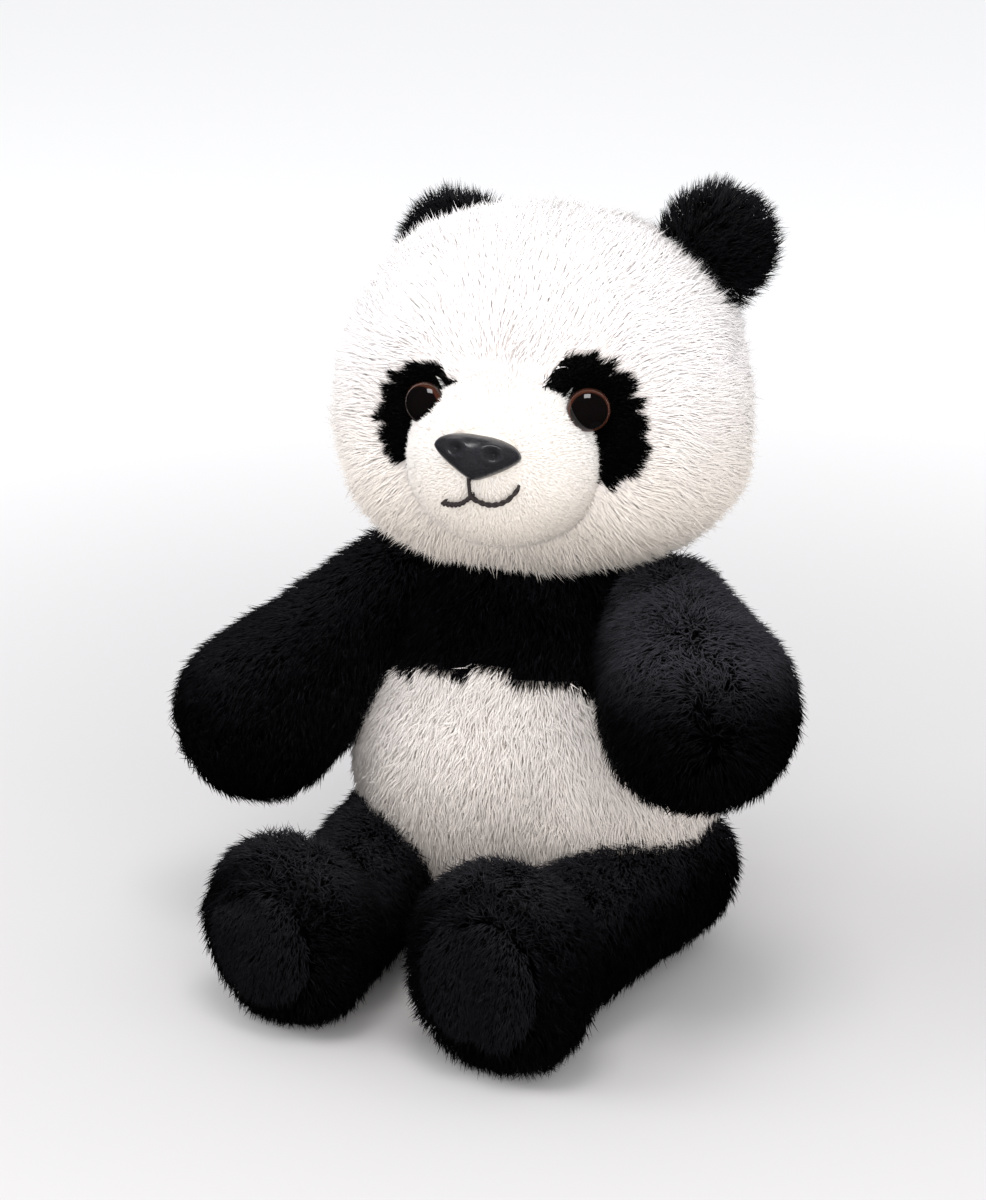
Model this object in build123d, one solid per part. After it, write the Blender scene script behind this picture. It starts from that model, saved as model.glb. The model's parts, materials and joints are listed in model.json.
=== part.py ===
from build123d import *
import os
from math import sqrt

# Plush panda, sitting. Millimetres, +Z up, the face looks along -Y and the toy's left side is +X.
# The origin is the middle of the flat seat, on the surface that the toy sits on.

# ---- driving dimensions -------------------------------------------------------------------------
FABRIC = 2.5            # plush backing with its pressed-down pile
EASE = 0.3              # between a stuffing and the fabric around it
SEAM_LIFT = 0.15        # between a piece that lies on the fabric and the fabric
JOINT_GAP = 1.3         # clear space round a limb or the head over its travel

SEAT_CENTRE = Vector(0, 4, 62)
SEAT_RADIUS = 67.0
CHEST_CENTRE_Z = 112.0
CHEST_RADIUS = 47.0
TORSO_FLATTEN = 0.83    # depth of the torso over its width
BAND_SEAM_Z = 101.0     # seam between the dark yoke and the pale belly
SIDE_SEAM_Y = 4.0       # side seams between front and back panels
BASE_PANEL_Z = 9.0      # top edge of the oval base panel
FLOOR_Z = 0.0

HEAD_CENTRE = Vector(2.5, 0, 196)
HEAD_RADII = (70.0, 60.0, 62.0)
HEAD_TURN = 7.0         # the head is sewn on looking slightly to its left
BOWL_RADII = (72.5, 66.5, 63.2)
CROWN_SEAM_Z = 20.0     # seam between forehead and cheeks, above the head's centre
EAR_SEAM_Y = 14.0       # seam between the face and the back of the head

MUZZLE_CENTRE = Vector(0, -46, -13)
MUZZLE_RADII = (33.0, 29.0, 30.0)

EYE_LEFT = (29.0, 5.7)   # sideways and up from the head's centre
EYE_RIGHT = (-25.5, 5.7)
EYE_RADIUS = 7.0
EYE_HEIGHT = 5.0
SHANK_RADIUS = 1.7
SHANK_LENGTH = 13.0
WASHER_RADIUS = 8.0
WASHER_THICK = 1.4
WASHER_DEPTH = 5.0      # washer's face below the outside of the fabric
PATCH_LEFT = (29.5, 1.5)
PATCH_LEFT_RADII = (15.3, 23.0)
PATCH_LEFT_TILT = -21.0  # degrees, the top leaning to the middle of the face
PATCH_RIGHT = (-27.0, 0.0)
PATCH_RIGHT_RADII = (15.0, 19.0)
PATCH_RIGHT_TILT = 12.0

NOSE_WIDTH = 28.0
NOSE_HEIGHT = 16.0
NOSE_PROUD = 5.5
NOSE_SIDE = -2.0        # sideways from the middle of the muzzle
NOSE_RISE = 7.5         # above the middle of the muzzle
NOSE_TIP_UP = 18.0      # degrees
NOSE_ROLL = 5.0
THREAD_RADIUS = 0.75

EAR_RADII = (20.0, 9.0, 20.0)
EAR_LEFT = Vector(55, 16, 49)
EAR_RIGHT = Vector(-42, 28, 39)

NECK_RADIUS = 22.0
NECK_BOTTOM_Z = 112.0

SHOULDER = Vector(48, -2, 120)
SHOULDER_RADIUS = 22.0
PAW_LEFT = Vector(80, -64, 112)
PAW_LEFT_RADIUS = 32.0
PAW_RIGHT = Vector(-90, -32, 80)
PAW_RIGHT_RADIUS = 29.5

HIP = Vector(47, 6, 28.5)
HIP_RADIUS = 25.5
ANKLE_RADIUS = 22.5
ANKLE_LEFT = Vector(33, -88, 26)
ANKLE_RIGHT = Vector(-40, -84, 26)
FOOT_LEFT = Vector(31, -105.5, 34.2)
FOOT_RIGHT = Vector(-47, -98, 31.2)
FOOT_LEFT_RADII = (31.5, 23.0, 34.6)
FOOT_RIGHT_RADII = (32.0, 22.5, 31.6)
FOOT_LEFT_TURN = -8.0    # degrees, each sole facing a little outwards or inwards
FOOT_RIGHT_TURN = -16.0
SOLE_INSET = 9.0        # from the foot's front to the seam round its sole

ARM_LEFT_TRAVEL = (-25, 20)     # degrees, below and above the resting place
ARM_RIGHT_TRAVEL = (-4, 80)
LEG_TRAVEL = (-40, 8)
CARVE_STEPS = 6
BALL_STEP = 0.4         # the cones' radius below the ball's
CARVE_REACH = 60.0

BAG_CENTRE_Z = 20.0
BAG_RADII = (19.0, 33.0, 12.0)
BAG_CLOTH = 0.8

FAR = 600.0


# ---- shapes -------------------------------------------------------------------------------------
def ellipsoid(radii):
    """A closed ellipsoid about the origin."""
    return scale(Sphere(10), by=tuple(r / 10 for r in radii))


def stuffed_tube(start_radius, end_radius, length):
    """Two spheres and the cone that touches both, along +Z from the first sphere's centre."""
    lean = (end_radius - start_radius) / length
    side = sqrt(1 - lean**2)
    start_edge = (start_radius * side, -start_radius * lean)
    end_edge = (end_radius * side, length - end_radius * lean)
    start_mid = Vector(start_edge[0], start_edge[1] - start_radius).normalized() * start_radius
    end_mid = Vector(end_edge[0], end_edge[1] - length + end_radius).normalized() * end_radius
    outline = ThreePointArc((0, -start_radius), (start_mid.X, start_mid.Y), start_edge)
    outline += Line(start_edge, end_edge)
    outline += ThreePointArc(end_edge, (end_mid.X, length + end_mid.Y), (0, length + end_radius))
    outline += Line((0, length + end_radius), (0, -start_radius))
    turned = revolve(make_face(outline), axis=Axis.Y)
    return Rot(90, 0, 0) * turned


def limb_frame(root, end):
    """A frame at the limb's root, with Z along the limb and Y to its upper side."""
    along = (end - root).normalized()
    across = along.cross(Vector(0, 0, 1)).normalized()
    return Plane(origin=root, x_dir=across, z_dir=along).location


def tube_between(root, end, root_radius, end_radius, inset=0.0):
    """A stuffed tube from root to end, made smaller all over by inset."""
    length = (end - root).length
    return limb_frame(root, end) * stuffed_tube(root_radius - inset, end_radius - inset, length)


def half_space(direction, offset):
    """A block that fills the side of a plane that direction points to."""
    return Plane(origin=direction * offset, z_dir=direction).location * (Pos(0, 0, FAR / 2) * Box(FAR, FAR, FAR))


def above(z):
    """Everything higher than z."""
    return half_space(Vector(0, 0, 1), z)


def behind(y):
    """Everything further back than y."""
    return half_space(Vector(0, 1, 0), y)


def largest(shape):
    """The biggest solid of a shape, without crumbs that a cut may leave."""
    return max(shape.solids(), key=lambda solid: solid.volume)


def about(pivot, degrees):
    """A turn about the side-to-side axis through pivot; positive raises what points forward."""
    return Pos(*pivot) * Rot(-degrees, 0, 0) * Pos(*(pivot * -1))


# ---- limbs --------------------------------------------------------------------------------------
def arm_shape(side, inset=0.0):
    """One arm: a round shoulder, a widening sleeve and a round paw."""
    if side > 0:
        return tube_between(SHOULDER, PAW_LEFT, SHOULDER_RADIUS, PAW_LEFT_RADIUS, inset)
    root = Vector(-SHOULDER.X, SHOULDER.Y, SHOULDER.Z)
    return tube_between(root, PAW_RIGHT, SHOULDER_RADIUS, PAW_RIGHT_RADIUS, inset)


def leg_shape(side, inset=0.0):
    """One leg: a round hip, a sleeve to the ankle and an upright oval foot, flat under the heel."""
    hip = Vector(side * HIP.X, HIP.Y, HIP.Z)
    ankle = ANKLE_LEFT if side > 0 else ANKLE_RIGHT
    centre = FOOT_LEFT if side > 0 else FOOT_RIGHT
    radii = FOOT_LEFT_RADII if side > 0 else FOOT_RIGHT_RADII
    sleeve = tube_between(hip, ankle, HIP_RADIUS, ANKLE_RADIUS, inset)
    turn = FOOT_LEFT_TURN if side > 0 else FOOT_RIGHT_TURN
    foot = Pos(*centre) * Rot(0, 0, turn) * ellipsoid([r - inset for r in radii])
    return (sleeve + foot) & above(FLOOR_Z + inset)


def pivot_of(side, place):
    """A joint's centre on the left, or mirrored on the right."""
    return Vector(side * place.X, place.Y, place.Z)


def travel_space(root, end, root_radius, end_radius, travel):
    """The ball at a limb's root and the cones round it that the limb needs over its travel."""
    low, high = travel
    steps = [low + (high - low) * i / CARVE_STEPS for i in range(CARVE_STEPS + 1)]
    wide = root_radius + JOINT_GAP
    length = (end - root).length
    slim = wide - BALL_STEP
    far_radius = slim + (end_radius - root_radius) * CARVE_REACH / length
    cone = Pos(0, 0, CARVE_REACH / 2) * frustum(slim, far_radius, CARVE_REACH)
    along = limb_frame(root, end) * cone
    return [Pos(*root) * Sphere(wide), *(about(root, step) * along for step in steps)]


def frustum(bottom, top, height):
    """A cone's lower part, or a cylinder where both ends are alike."""
    return Cylinder(bottom, height) if abs(bottom - top) < 0.01 else Cone(bottom, top, height)


def carve(shape, spaces):
    """Take each space out of a shape, one after the other."""
    for space in spaces:
        shape = shape - space
    return shape


def build_arm(name, side):
    """Upper and under panels of one arm, and its stuffing."""
    root = pivot_of(side, SHOULDER)
    end = PAW_LEFT if side > 0 else PAW_RIGHT
    skin = arm_shape(side) - arm_shape(side, FABRIC)
    upper_side = limb_frame(root, end) * half_space(Vector(0, 1, 0), 0)
    return {
        f"arm_{name}_upper": skin & upper_side,
        f"arm_{name}_under": skin - upper_side,
        f"arm_{name}_stuffing": arm_shape(side, FABRIC + EASE),
    }


def build_leg(name, side):
    """Upper and under panels of one leg, the sole of its foot, and its stuffing."""
    hip = pivot_of(side, HIP)
    ankle = ANKLE_LEFT if side > 0 else ANKLE_RIGHT
    centre = FOOT_LEFT if side > 0 else FOOT_RIGHT
    radii = FOOT_LEFT_RADII if side > 0 else FOOT_RIGHT_RADII
    skin = leg_shape(side) - leg_shape(side, FABRIC)
    turn = FOOT_LEFT_TURN if side > 0 else FOOT_RIGHT_TURN
    front = Pos(*centre) * Rot(0, 0, turn) * half_space(Vector(0, -1, 0), radii[1] - SOLE_INSET)
    upper_side = limb_frame(hip, ankle) * half_space(Vector(0, 1, 0), 0)
    sleeve = skin - front
    return {
        f"leg_{name}_upper": sleeve & upper_side,
        f"leg_{name}_under": sleeve - upper_side,
        f"foot_{name}_sole": skin & front,
        f"leg_{name}_stuffing": leg_shape(side, FABRIC + EASE),
    }


# ---- torso --------------------------------------------------------------------------------------
def torso_shape(inset=0.0):
    """The egg of the body, flattened front to back and flat where it sits."""
    rise = CHEST_CENTRE_Z - SEAT_CENTRE.Z
    egg = stuffed_tube(SEAT_RADIUS - inset, CHEST_RADIUS - inset, rise)
    flat_egg = scale(Rot(0, 0, 90) * egg, by=(1, TORSO_FLATTEN, 1))
    return (Pos(*SEAT_CENTRE) * flat_egg) & above(FLOOR_Z + inset)


def neck_plug(gap=0.0):
    """The firm wad in the neck, round about the neck's own upright axis."""
    height = HEAD_CENTRE.Z - NECK_BOTTOM_Z
    wad = Cylinder(NECK_RADIUS + gap, height + gap, align=(Align.CENTER, Align.CENTER, Align.MIN))
    return Pos(HEAD_CENTRE.X, HEAD_CENTRE.Y, NECK_BOTTOM_Z - gap) * wad


def head_bowl(extra=0.0):
    """The hollow that the head turns and nods in."""
    return Pos(*HEAD_CENTRE) * ellipsoid([r + extra for r in BOWL_RADII])


def pellet_bag(inset=0.0):
    """The flat cloth bag of pellets that weights the seat."""
    place = Pos(0, SEAT_CENTRE.Y, BAG_CENTRE_Z)
    return place * ellipsoid([r - inset for r in BAG_RADII])


def build_torso():
    """The body's panels, its stuffing and the weight in its seat."""
    spaces = [head_bowl()]
    for side, travel in ((1, ARM_LEFT_TRAVEL), (-1, ARM_RIGHT_TRAVEL)):
        paw, paw_radius = (PAW_LEFT, PAW_LEFT_RADIUS) if side > 0 else (PAW_RIGHT, PAW_RIGHT_RADIUS)
        ankle = ANKLE_LEFT if side > 0 else ANKLE_RIGHT
        spaces += travel_space(pivot_of(side, SHOULDER), paw, SHOULDER_RADIUS, paw_radius, travel)
        spaces += travel_space(pivot_of(side, HIP), ankle, HIP_RADIUS, ANKLE_RADIUS, LEG_TRAVEL)
    spaces.append(neck_plug(EASE))
    skin = carve(torso_shape() - torso_shape(FABRIC), spaces)
    stuffing = carve(torso_shape(FABRIC + EASE) - pellet_bag(-EASE), spaces)
    yoke = skin & above(BAND_SEAM_Z)
    lower = (skin - above(BAND_SEAM_Z)) & above(BASE_PANEL_Z)
    return {
        "chest_panel": yoke - behind(SIDE_SEAM_Y),
        "shoulder_panel": yoke & behind(SIDE_SEAM_Y),
        "belly_panel": lower - behind(SIDE_SEAM_Y),
        "back_panel": lower & behind(SIDE_SEAM_Y),
        "base_panel": skin - above(BASE_PANEL_Z),
        "torso_stuffing": stuffing,
        "pellet_bag": pellet_bag() - pellet_bag(BAG_CLOTH),
        "seat_pellets": pellet_bag(BAG_CLOTH + EASE),
        "neck_stuffing": neck_plug() - head_bowl(0.4),
    }


# ---- head, in its own frame: centre at the origin, face along -Y --------------------------------
def head_shape(inset=0.0):
    """The head without muzzle and ears."""
    return ellipsoid([r - inset for r in HEAD_RADII])


def muzzle_shape(inset=0.0):
    """The round muzzle."""
    return Pos(*MUZZLE_CENTRE) * ellipsoid([r - inset for r in MUZZLE_RADII])


def on_ellipsoid(radii, x, z):
    """The front point of an ellipsoid at a sideways and an upward place."""
    return Vector(x, -radii[1] * sqrt(1 - (x / radii[0])**2 - (z / radii[2])**2), z)


def eye_frame(side):
    """A frame on the face where an eye sits, Z straight out of the fabric."""
    place = on_ellipsoid(HEAD_RADII, *(EYE_LEFT if side > 0 else EYE_RIGHT))
    outward = Vector(*(c / r**2 for c, r in zip(place, HEAD_RADII)))
    return Plane(origin=place, z_dir=outward).location


def eye_piece():
    """A domed eye with its shank, moulded in one, on the XY plane."""
    dome_radius = (EYE_RADIUS**2 + EYE_HEIGHT**2) / (2 * EYE_HEIGHT)
    ball = Pos(0, 0, EYE_HEIGHT - dome_radius) * Sphere(dome_radius)
    dome = Pos(0, 0, 0.5) * (ball & above(0))
    flange = Pos(0, 0, 0.25 + SEAM_LIFT / 2) * Cylinder(EYE_RADIUS, 0.5 - SEAM_LIFT)
    shank = Cylinder(SHANK_RADIUS, SHANK_LENGTH, align=(Align.CENTER, Align.CENTER, Align.MAX))
    return dome + flange + Pos(0, 0, 0.5) * shank


def lock_washer():
    """The washer that grips a shank behind the fabric."""
    disc = Cylinder(WASHER_RADIUS, WASHER_THICK) - Cylinder(SHANK_RADIUS + 0.05, 3 * WASHER_THICK)
    return Pos(0, 0, -WASHER_DEPTH) * disc


def shank_space():
    """The room that a shank and its washer take in the stuffing and the fabric."""
    hole = Pos(0, 0, 0.5 - SHANK_LENGTH / 2) * Cylinder(SHANK_RADIUS + EASE, SHANK_LENGTH + 1 + EASE)
    return hole + Pos(0, 0, -WASHER_DEPTH) * Cylinder(WASHER_RADIUS + EASE, WASHER_THICK + 2 * EASE)


def nose_frame():
    """A frame on the muzzle's front where the nose sits, Z straight out."""
    place = MUZZLE_CENTRE + on_ellipsoid(MUZZLE_RADII, NOSE_SIDE, NOSE_RISE)
    return Pos(*place) * Rot(0, NOSE_ROLL, 0) * Rot(90 - NOSE_TIP_UP, 0, 0)


def nose_piece():
    """The moulded nose: a soft-cornered triangle, point down, with its shank."""
    corners = [(-NOSE_WIDTH / 2, NOSE_HEIGHT * 0.42), (NOSE_WIDTH / 2, NOSE_HEIGHT * 0.42), (0, -NOSE_HEIGHT * 0.8)]
    outline = make_face(Polyline(*corners, close=True))
    outline = fillet(outline.vertices(), NOSE_HEIGHT * 0.28)
    block = extrude(outline, NOSE_PROUD, both=True)
    front_edges = block.edges().filter_by_position(Axis.Z, NOSE_PROUD - 0.01, NOSE_PROUD + 0.01)
    block = nose_frame() * fillet(front_edges, 2.4)
    shank = Cylinder(SHANK_RADIUS, SHANK_LENGTH, align=(Align.CENTER, Align.CENTER, Align.MAX))
    return (block - muzzle_shape(-SEAM_LIFT)) + nose_frame() * (Pos(0, 0, 1) * shank)


def thread_point(x, z):
    """A point where the mouth's thread lies on the muzzle."""
    radii = [r + THREAD_RADIUS + 0.35 for r in MUZZLE_RADII]
    return MUZZLE_CENTRE + on_ellipsoid(radii, x, z)


def mouth_thread():
    """The embroidered mouth: a short upright and a curve to each side."""
    upright = Line(thread_point(-4.0, -4.0), thread_point(-3.7, -6.4))
    left = ThreePointArc(thread_point(-2.6, -7.6), thread_point(4.2, -8.6), thread_point(11.0, -3.4))
    right = ThreePointArc(thread_point(-4.6, -7.8), thread_point(-8.6, -9.8), thread_point(-13.2, -9.9))
    strands = []
    for path in (upright, left, right):
        section = Plane(origin=path @ 0, z_dir=path % 0) * Circle(THREAD_RADIUS)
        strands.append(sweep(section, path=path).solid())
    return Compound(children=strands)


def patch_column(centre, radii, tilt):
    """A straight column whose cut through the face is the patch round an eye."""
    column = scale(Cylinder(10, 80), by=(radii[0] / 10, radii[1] / 10, 1))
    place = Pos(centre[0], -60, centre[1]) * Rot(0, tilt, 0)
    return place * Rot(90, 0, 0) * column


def ear_piece(place, lean):
    """One soft ear, seated on the head."""
    ear = Pos(*place) * Rot(0, lean, 0) * ellipsoid(EAR_RADII)
    return largest(ear - head_shape(-SEAM_LIFT))


def build_head():
    """The head's panels, fittings and stuffing."""
    eye_spaces = [eye_frame(side) * shank_space() for side in (1, -1)]
    eye_seats = [eye_frame(side) * Cylinder(EYE_RADIUS + EASE, 4 * EYE_HEIGHT) for side in (1, -1)]
    nose_space = nose_frame() * shank_space()
    skin = (head_shape() - head_shape(FABRIC)) - [muzzle_shape(), *eye_spaces]
    front = skin - behind(EAR_SEAM_Y)
    rear = skin & behind(EAR_SEAM_Y)
    left_column = patch_column(PATCH_LEFT, PATCH_LEFT_RADII, PATCH_LEFT_TILT)
    right_column = patch_column(PATCH_RIGHT, PATCH_RIGHT_RADII, PATCH_RIGHT_TILT)
    left_patch = largest(front & left_column)
    right_patch = largest(front & right_column)
    face = front - [left_column, right_column]
    left_half = half_space(Vector(1, 0, 0), 0)
    cheeks = face - above(CROWN_SEAM_Z)
    muzzle_skin = (muzzle_shape() - muzzle_shape(FABRIC)) - [head_shape(), nose_space, *eye_seats]
    muzzle_fill = muzzle_shape(FABRIC + EASE) - [head_shape(FABRIC), nose_space, *eye_seats]
    head_fill = head_shape(FABRIC + EASE) - eye_spaces
    washers = [eye_frame(side) * lock_washer() for side in (1, -1)]
    return {
        "forehead_panel": face & above(CROWN_SEAM_Z),
        "cheek_left_panel": largest(cheeks & left_half),
        "cheek_right_panel": largest(cheeks - left_half),
        "head_back_left_panel": rear & left_half,
        "head_back_right_panel": rear - left_half,
        "eye_patch_left": left_patch,
        "eye_patch_right": right_patch,
        "muzzle_panel": largest(muzzle_skin),
        "eye_left": eye_frame(1) * eye_piece(),
        "eye_right": eye_frame(-1) * eye_piece(),
        "eye_lock_washers": Compound(children=[w.solid() for w in washers]),
        "nose": nose_piece(),
        "nose_lock_washer": nose_frame() * lock_washer(),
        "mouth_thread": mouth_thread(),
        "ear_left": ear_piece(EAR_LEFT, 40),
        "ear_right": ear_piece(EAR_RIGHT, -40),
        "head_stuffing": head_fill,
        "muzzle_stuffing": largest(muzzle_fill),
    }


def main():
    """Build every node and write its STEP file."""
    nodes = build_torso()
    place = Pos(*HEAD_CENTRE) * Rot(0, 0, HEAD_TURN)
    nodes.update({name: place * shape for name, shape in build_head().items()})
    for name, side in (("left", 1), ("right", -1)):
        nodes.update(build_arm(name, side))
        nodes.update(build_leg(name, side))
    os.makedirs("parts", exist_ok=True)
    for name, shape in nodes.items():
        export_step(shape, f"parts/{name}.step")
        print(name, round(shape.volume), "mm3")


main()
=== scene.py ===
"""A sitting plush panda: pile panels sewn round stuffing, moulded eyes and nose, and a stitched mouth.

Every length is in metres unless its name ends in _mm. The face looks along -Y and the toy's left is +X.
"""

import json
import logging
import math
from dataclasses import dataclass, field, replace
from enum import Enum
from typing import Callable, Optional, Sequence

import bmesh
import bpy
import numpy as np
from mathutils import Matrix, Vector, kdtree, noise


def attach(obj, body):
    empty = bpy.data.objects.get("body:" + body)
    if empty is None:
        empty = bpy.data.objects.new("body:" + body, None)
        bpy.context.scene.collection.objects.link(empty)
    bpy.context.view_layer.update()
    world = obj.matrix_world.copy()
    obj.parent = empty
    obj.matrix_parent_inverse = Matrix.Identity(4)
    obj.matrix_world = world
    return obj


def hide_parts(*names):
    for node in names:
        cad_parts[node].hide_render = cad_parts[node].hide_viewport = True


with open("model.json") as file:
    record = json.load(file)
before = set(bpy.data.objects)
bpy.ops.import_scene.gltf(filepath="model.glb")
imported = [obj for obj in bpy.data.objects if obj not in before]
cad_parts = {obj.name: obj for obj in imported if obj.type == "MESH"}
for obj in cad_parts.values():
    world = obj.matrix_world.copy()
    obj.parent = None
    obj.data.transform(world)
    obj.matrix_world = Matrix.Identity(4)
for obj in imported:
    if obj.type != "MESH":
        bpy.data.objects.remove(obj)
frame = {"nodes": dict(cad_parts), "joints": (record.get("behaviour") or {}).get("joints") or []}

Points = np.ndarray
Seam = tuple[Vector, Vector]
MM = 0.001
UP = Vector((0, 0, 1))
FLOOR_CLEARANCE = 0.4 * MM
CLOTH_THICKNESS = 1.2 * MM

log = logging.getLogger("panda")


# ------------------------------------------------------------------------------------------------
# Small helpers
# ------------------------------------------------------------------------------------------------
def unit(vectors: Points) -> Points:
    """Give each row a length of one.

    Args:
        vectors: rows of x, y, z.

    Returns:
        The same rows, each one metre long.
    """
    return vectors / np.maximum(np.linalg.norm(vectors, axis=1, keepdims=True), 1e-12)


def smooth_step(values: Points, low: float, high: float) -> Points:
    """Rise smoothly from 0 at low to 1 at high."""
    t = np.clip((values - low) / (high - low), 0, 1)
    return t * t * (3 - 2 * t)


def drift(points: Points, size: float) -> Points:
    """Slow random vectors that change over a given size.

    Args:
        points: rows of x, y, z.
        size: the size of one ripple.

    Returns:
        A vector for each row, each part roughly from -1 to 1.
    """
    return np.array([noise.noise_vector(Vector(p) / size) for p in points]).reshape(-1, 3)


def joint_place(name: str) -> Vector:
    """Where a joint of the frame turns."""
    found = [joint for joint in frame["joints"] if joint["name"] == name]
    return Vector(found[0]["pos_m"])


def coordinates(bm: bmesh.types.BMesh) -> Points:
    """Every vertex of a bmesh as rows of x, y, z."""
    return np.array([v.co for v in bm.verts]).reshape(-1, 3)


def move_to(bm: bmesh.types.BMesh, points: Points) -> None:
    """Move each vertex to its row of points.

    Args:
        bm: the mesh to change.
        points: one row for each vertex, in order.
    """
    for vert, point in zip(bm.verts, points):
        vert.co = point
    bm.normal_update()


# ------------------------------------------------------------------------------------------------
# Rounded forms that the panels are sewn over
# ------------------------------------------------------------------------------------------------
class Form:
    """A closed rounded form that knows how deep a point lies in it."""

    def depth(self, points: Points) -> Points:
        """How far inside each point is, roughly; negative outside."""
        raise NotImplementedError

    def shell(self, inset: float) -> bmesh.types.BMesh:
        """A closed mesh of the surface, moved inwards by inset."""
        raise NotImplementedError


@dataclass(frozen=True)
class RoundCone(Form):
    """Two balls and the cone that touches both, flattened front to back."""

    root: Vector
    end: Vector
    root_radius: float
    end_radius: float
    flatten: float = 1.0
    steps: int = 84

    def depth(self, points: Points) -> Points:
        """How far inside each point is; negative outside."""
        squeezed = np.array(points)
        squeezed[:, 1] = self.root.y + (squeezed[:, 1] - self.root.y) / self.flatten
        along = np.array(self.end - self.root)
        from_root = squeezed - np.array(self.root)
        t = np.clip(from_root @ along / (along @ along), 0, 1)
        away = np.linalg.norm(from_root - t[:, None] * along, axis=1)
        return self.root_radius + t * (self.end_radius - self.root_radius) - away

    def shell(self, inset: float) -> bmesh.types.BMesh:
        """A closed mesh of the surface, moved inwards by inset.

        Args:
            inset: how far inside the form's own surface.

        Returns:
            A bmesh of a spun outline.
        """
        length = (self.end - self.root).length
        low, high = self.root_radius - inset, self.end_radius - inset
        turn = math.acos((high - low) / length)
        arc = max(8, self.steps // 4)
        outline = [Vector((low * math.sin(a), 0, -low * math.cos(a))) for a in np.linspace(0, turn, arc)]
        last = Vector((high * math.sin(turn), 0, length - high * math.cos(turn)))
        outline += [outline[-1].lerp(last, k / 12) for k in range(1, 12)]
        outline += [
            Vector((high * math.sin(a), 0, length - high * math.cos(a))) for a in np.linspace(turn, math.pi, arc)
        ]
        bm = bmesh.new()
        verts = [bm.verts.new(p) for p in outline]
        edges = [bm.edges.new(pair) for pair in zip(verts[:-1], verts[1:])]
        bmesh.ops.spin(
            bm, geom=[*verts, *edges], cent=(0, 0, 0), axis=(0, 0, 1), angle=2 * math.pi,
            steps=self.steps, use_merge=True,
        )
        bmesh.ops.remove_doubles(bm, verts=bm.verts, dist=0.02 * MM)
        place = Matrix.Translation(self.root) @ (self.end - self.root).to_track_quat("Z", "Y").to_matrix().to_4x4()
        bmesh.ops.transform(bm, matrix=place, verts=bm.verts)
        if self.flatten != 1:
            squeeze = Matrix.Diagonal((1, self.flatten, 1, 1))
            centre = Matrix.Translation((0, self.root.y, 0))
            bmesh.ops.transform(bm, matrix=centre @ squeeze @ centre.inverted(), verts=bm.verts)
        bmesh.ops.recalc_face_normals(bm, faces=bm.faces)
        return bm


@dataclass(frozen=True)
class Pebble(Form):
    """An oval form, squarer than an ellipsoid where power is above 2, in its own turned frame.

    The crown narrows its top. The jowl widens its lower sides and back, and low_power squares its lower half.
    """

    centre: Vector
    radii: Vector
    turn: Matrix = field(default_factory=lambda: Matrix.Identity(3))
    power: float = 2.0
    low_power: float = 0.0
    crown: float = 0.0
    jowl: float = 0.0
    fineness: int = 5

    def local(self, points: Points) -> Points:
        """Points in the form's own frame."""
        return (points - np.array(self.centre)) @ np.array(self.turn)

    def world(self, points: Points) -> Points:
        """Points of the form's own frame in the toy's frame."""
        return points @ np.array(self.turn).T + np.array(self.centre)

    def reach(self, points: Points) -> Points:
        """1 on the surface, less inside, for points in the form's own frame."""
        scaled = points / np.array(self.radii)
        low = np.exp(-(((scaled[:, 2] + 0.72) / 0.32) ** 2)) * smooth_step(scaled[:, 1], -0.25, 0.45)
        scaled[:, :2] /= (1 - self.crown * smooth_step(scaled[:, 2], -0.1, 1.0) + self.jowl * low)[:, None]
        powers = np.full(scaled.shape, self.power)
        powers[:, 2] = np.where(scaled[:, 2] < 0, self.low_power or self.power, self.power)
        return (np.abs(scaled) ** powers).sum(1) ** (1 / self.power)

    def depth(self, points: Points) -> Points:
        """How far inside each point is; negative outside."""
        return (1 - self.reach(self.local(points))) * min(self.radii)

    def surface(self, x: float, z: float, lift: float = 0.0) -> Vector:
        """The front surface point at a sideways and an upward place, in the toy's frame.

        Args:
            x: sideways from the centre, in the form's own frame.
            z: upwards from the centre.
            lift: how far outside the surface.

        Returns:
            The point, found by halving.
        """
        low, high = 0.0, self.radii.y * 1.2
        for _ in range(40):
            middle = (low + high) / 2
            inside = self.reach(np.array([[x, -middle, z]]))[0] < 1
            low, high = (middle, high) if inside else (low, middle)
        normal = self.outward(Vector((x, -low, z)))
        return Vector(self.world(np.array([[x, -low, z]]))[0]) + normal * lift

    def outward(self, place: Vector) -> Vector:
        """The outward normal at a place given in the form's own frame, in the toy's frame."""
        sides = [math.copysign(abs(c / r) ** (self.power - 1) / r, c) for c, r in zip(place, self.radii)]
        return (self.turn @ Vector(sides)).normalized()

    def shell(self, inset: float) -> bmesh.types.BMesh:
        """A closed mesh of the surface, moved inwards by inset.

        Args:
            inset: how far inside the form's own surface.

        Returns:
            A bmesh of a ball whose vertices are moved out to the form.
        """
        bm = bmesh.new()
        bmesh.ops.create_icosphere(bm, subdivisions=self.fineness, radius=1.0)
        directions = coordinates(bm) * (np.array(self.radii) - inset)
        smaller = replace(self, radii=self.radii - Vector((inset,) * 3))
        on_surface = directions
        for _ in range(10):
            on_surface = on_surface / smaller.reach(np.array(on_surface))[:, None]
        move_to(bm, self.world(on_surface))
        bmesh.ops.recalc_face_normals(bm, faces=bm.faces)
        return bm


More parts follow.
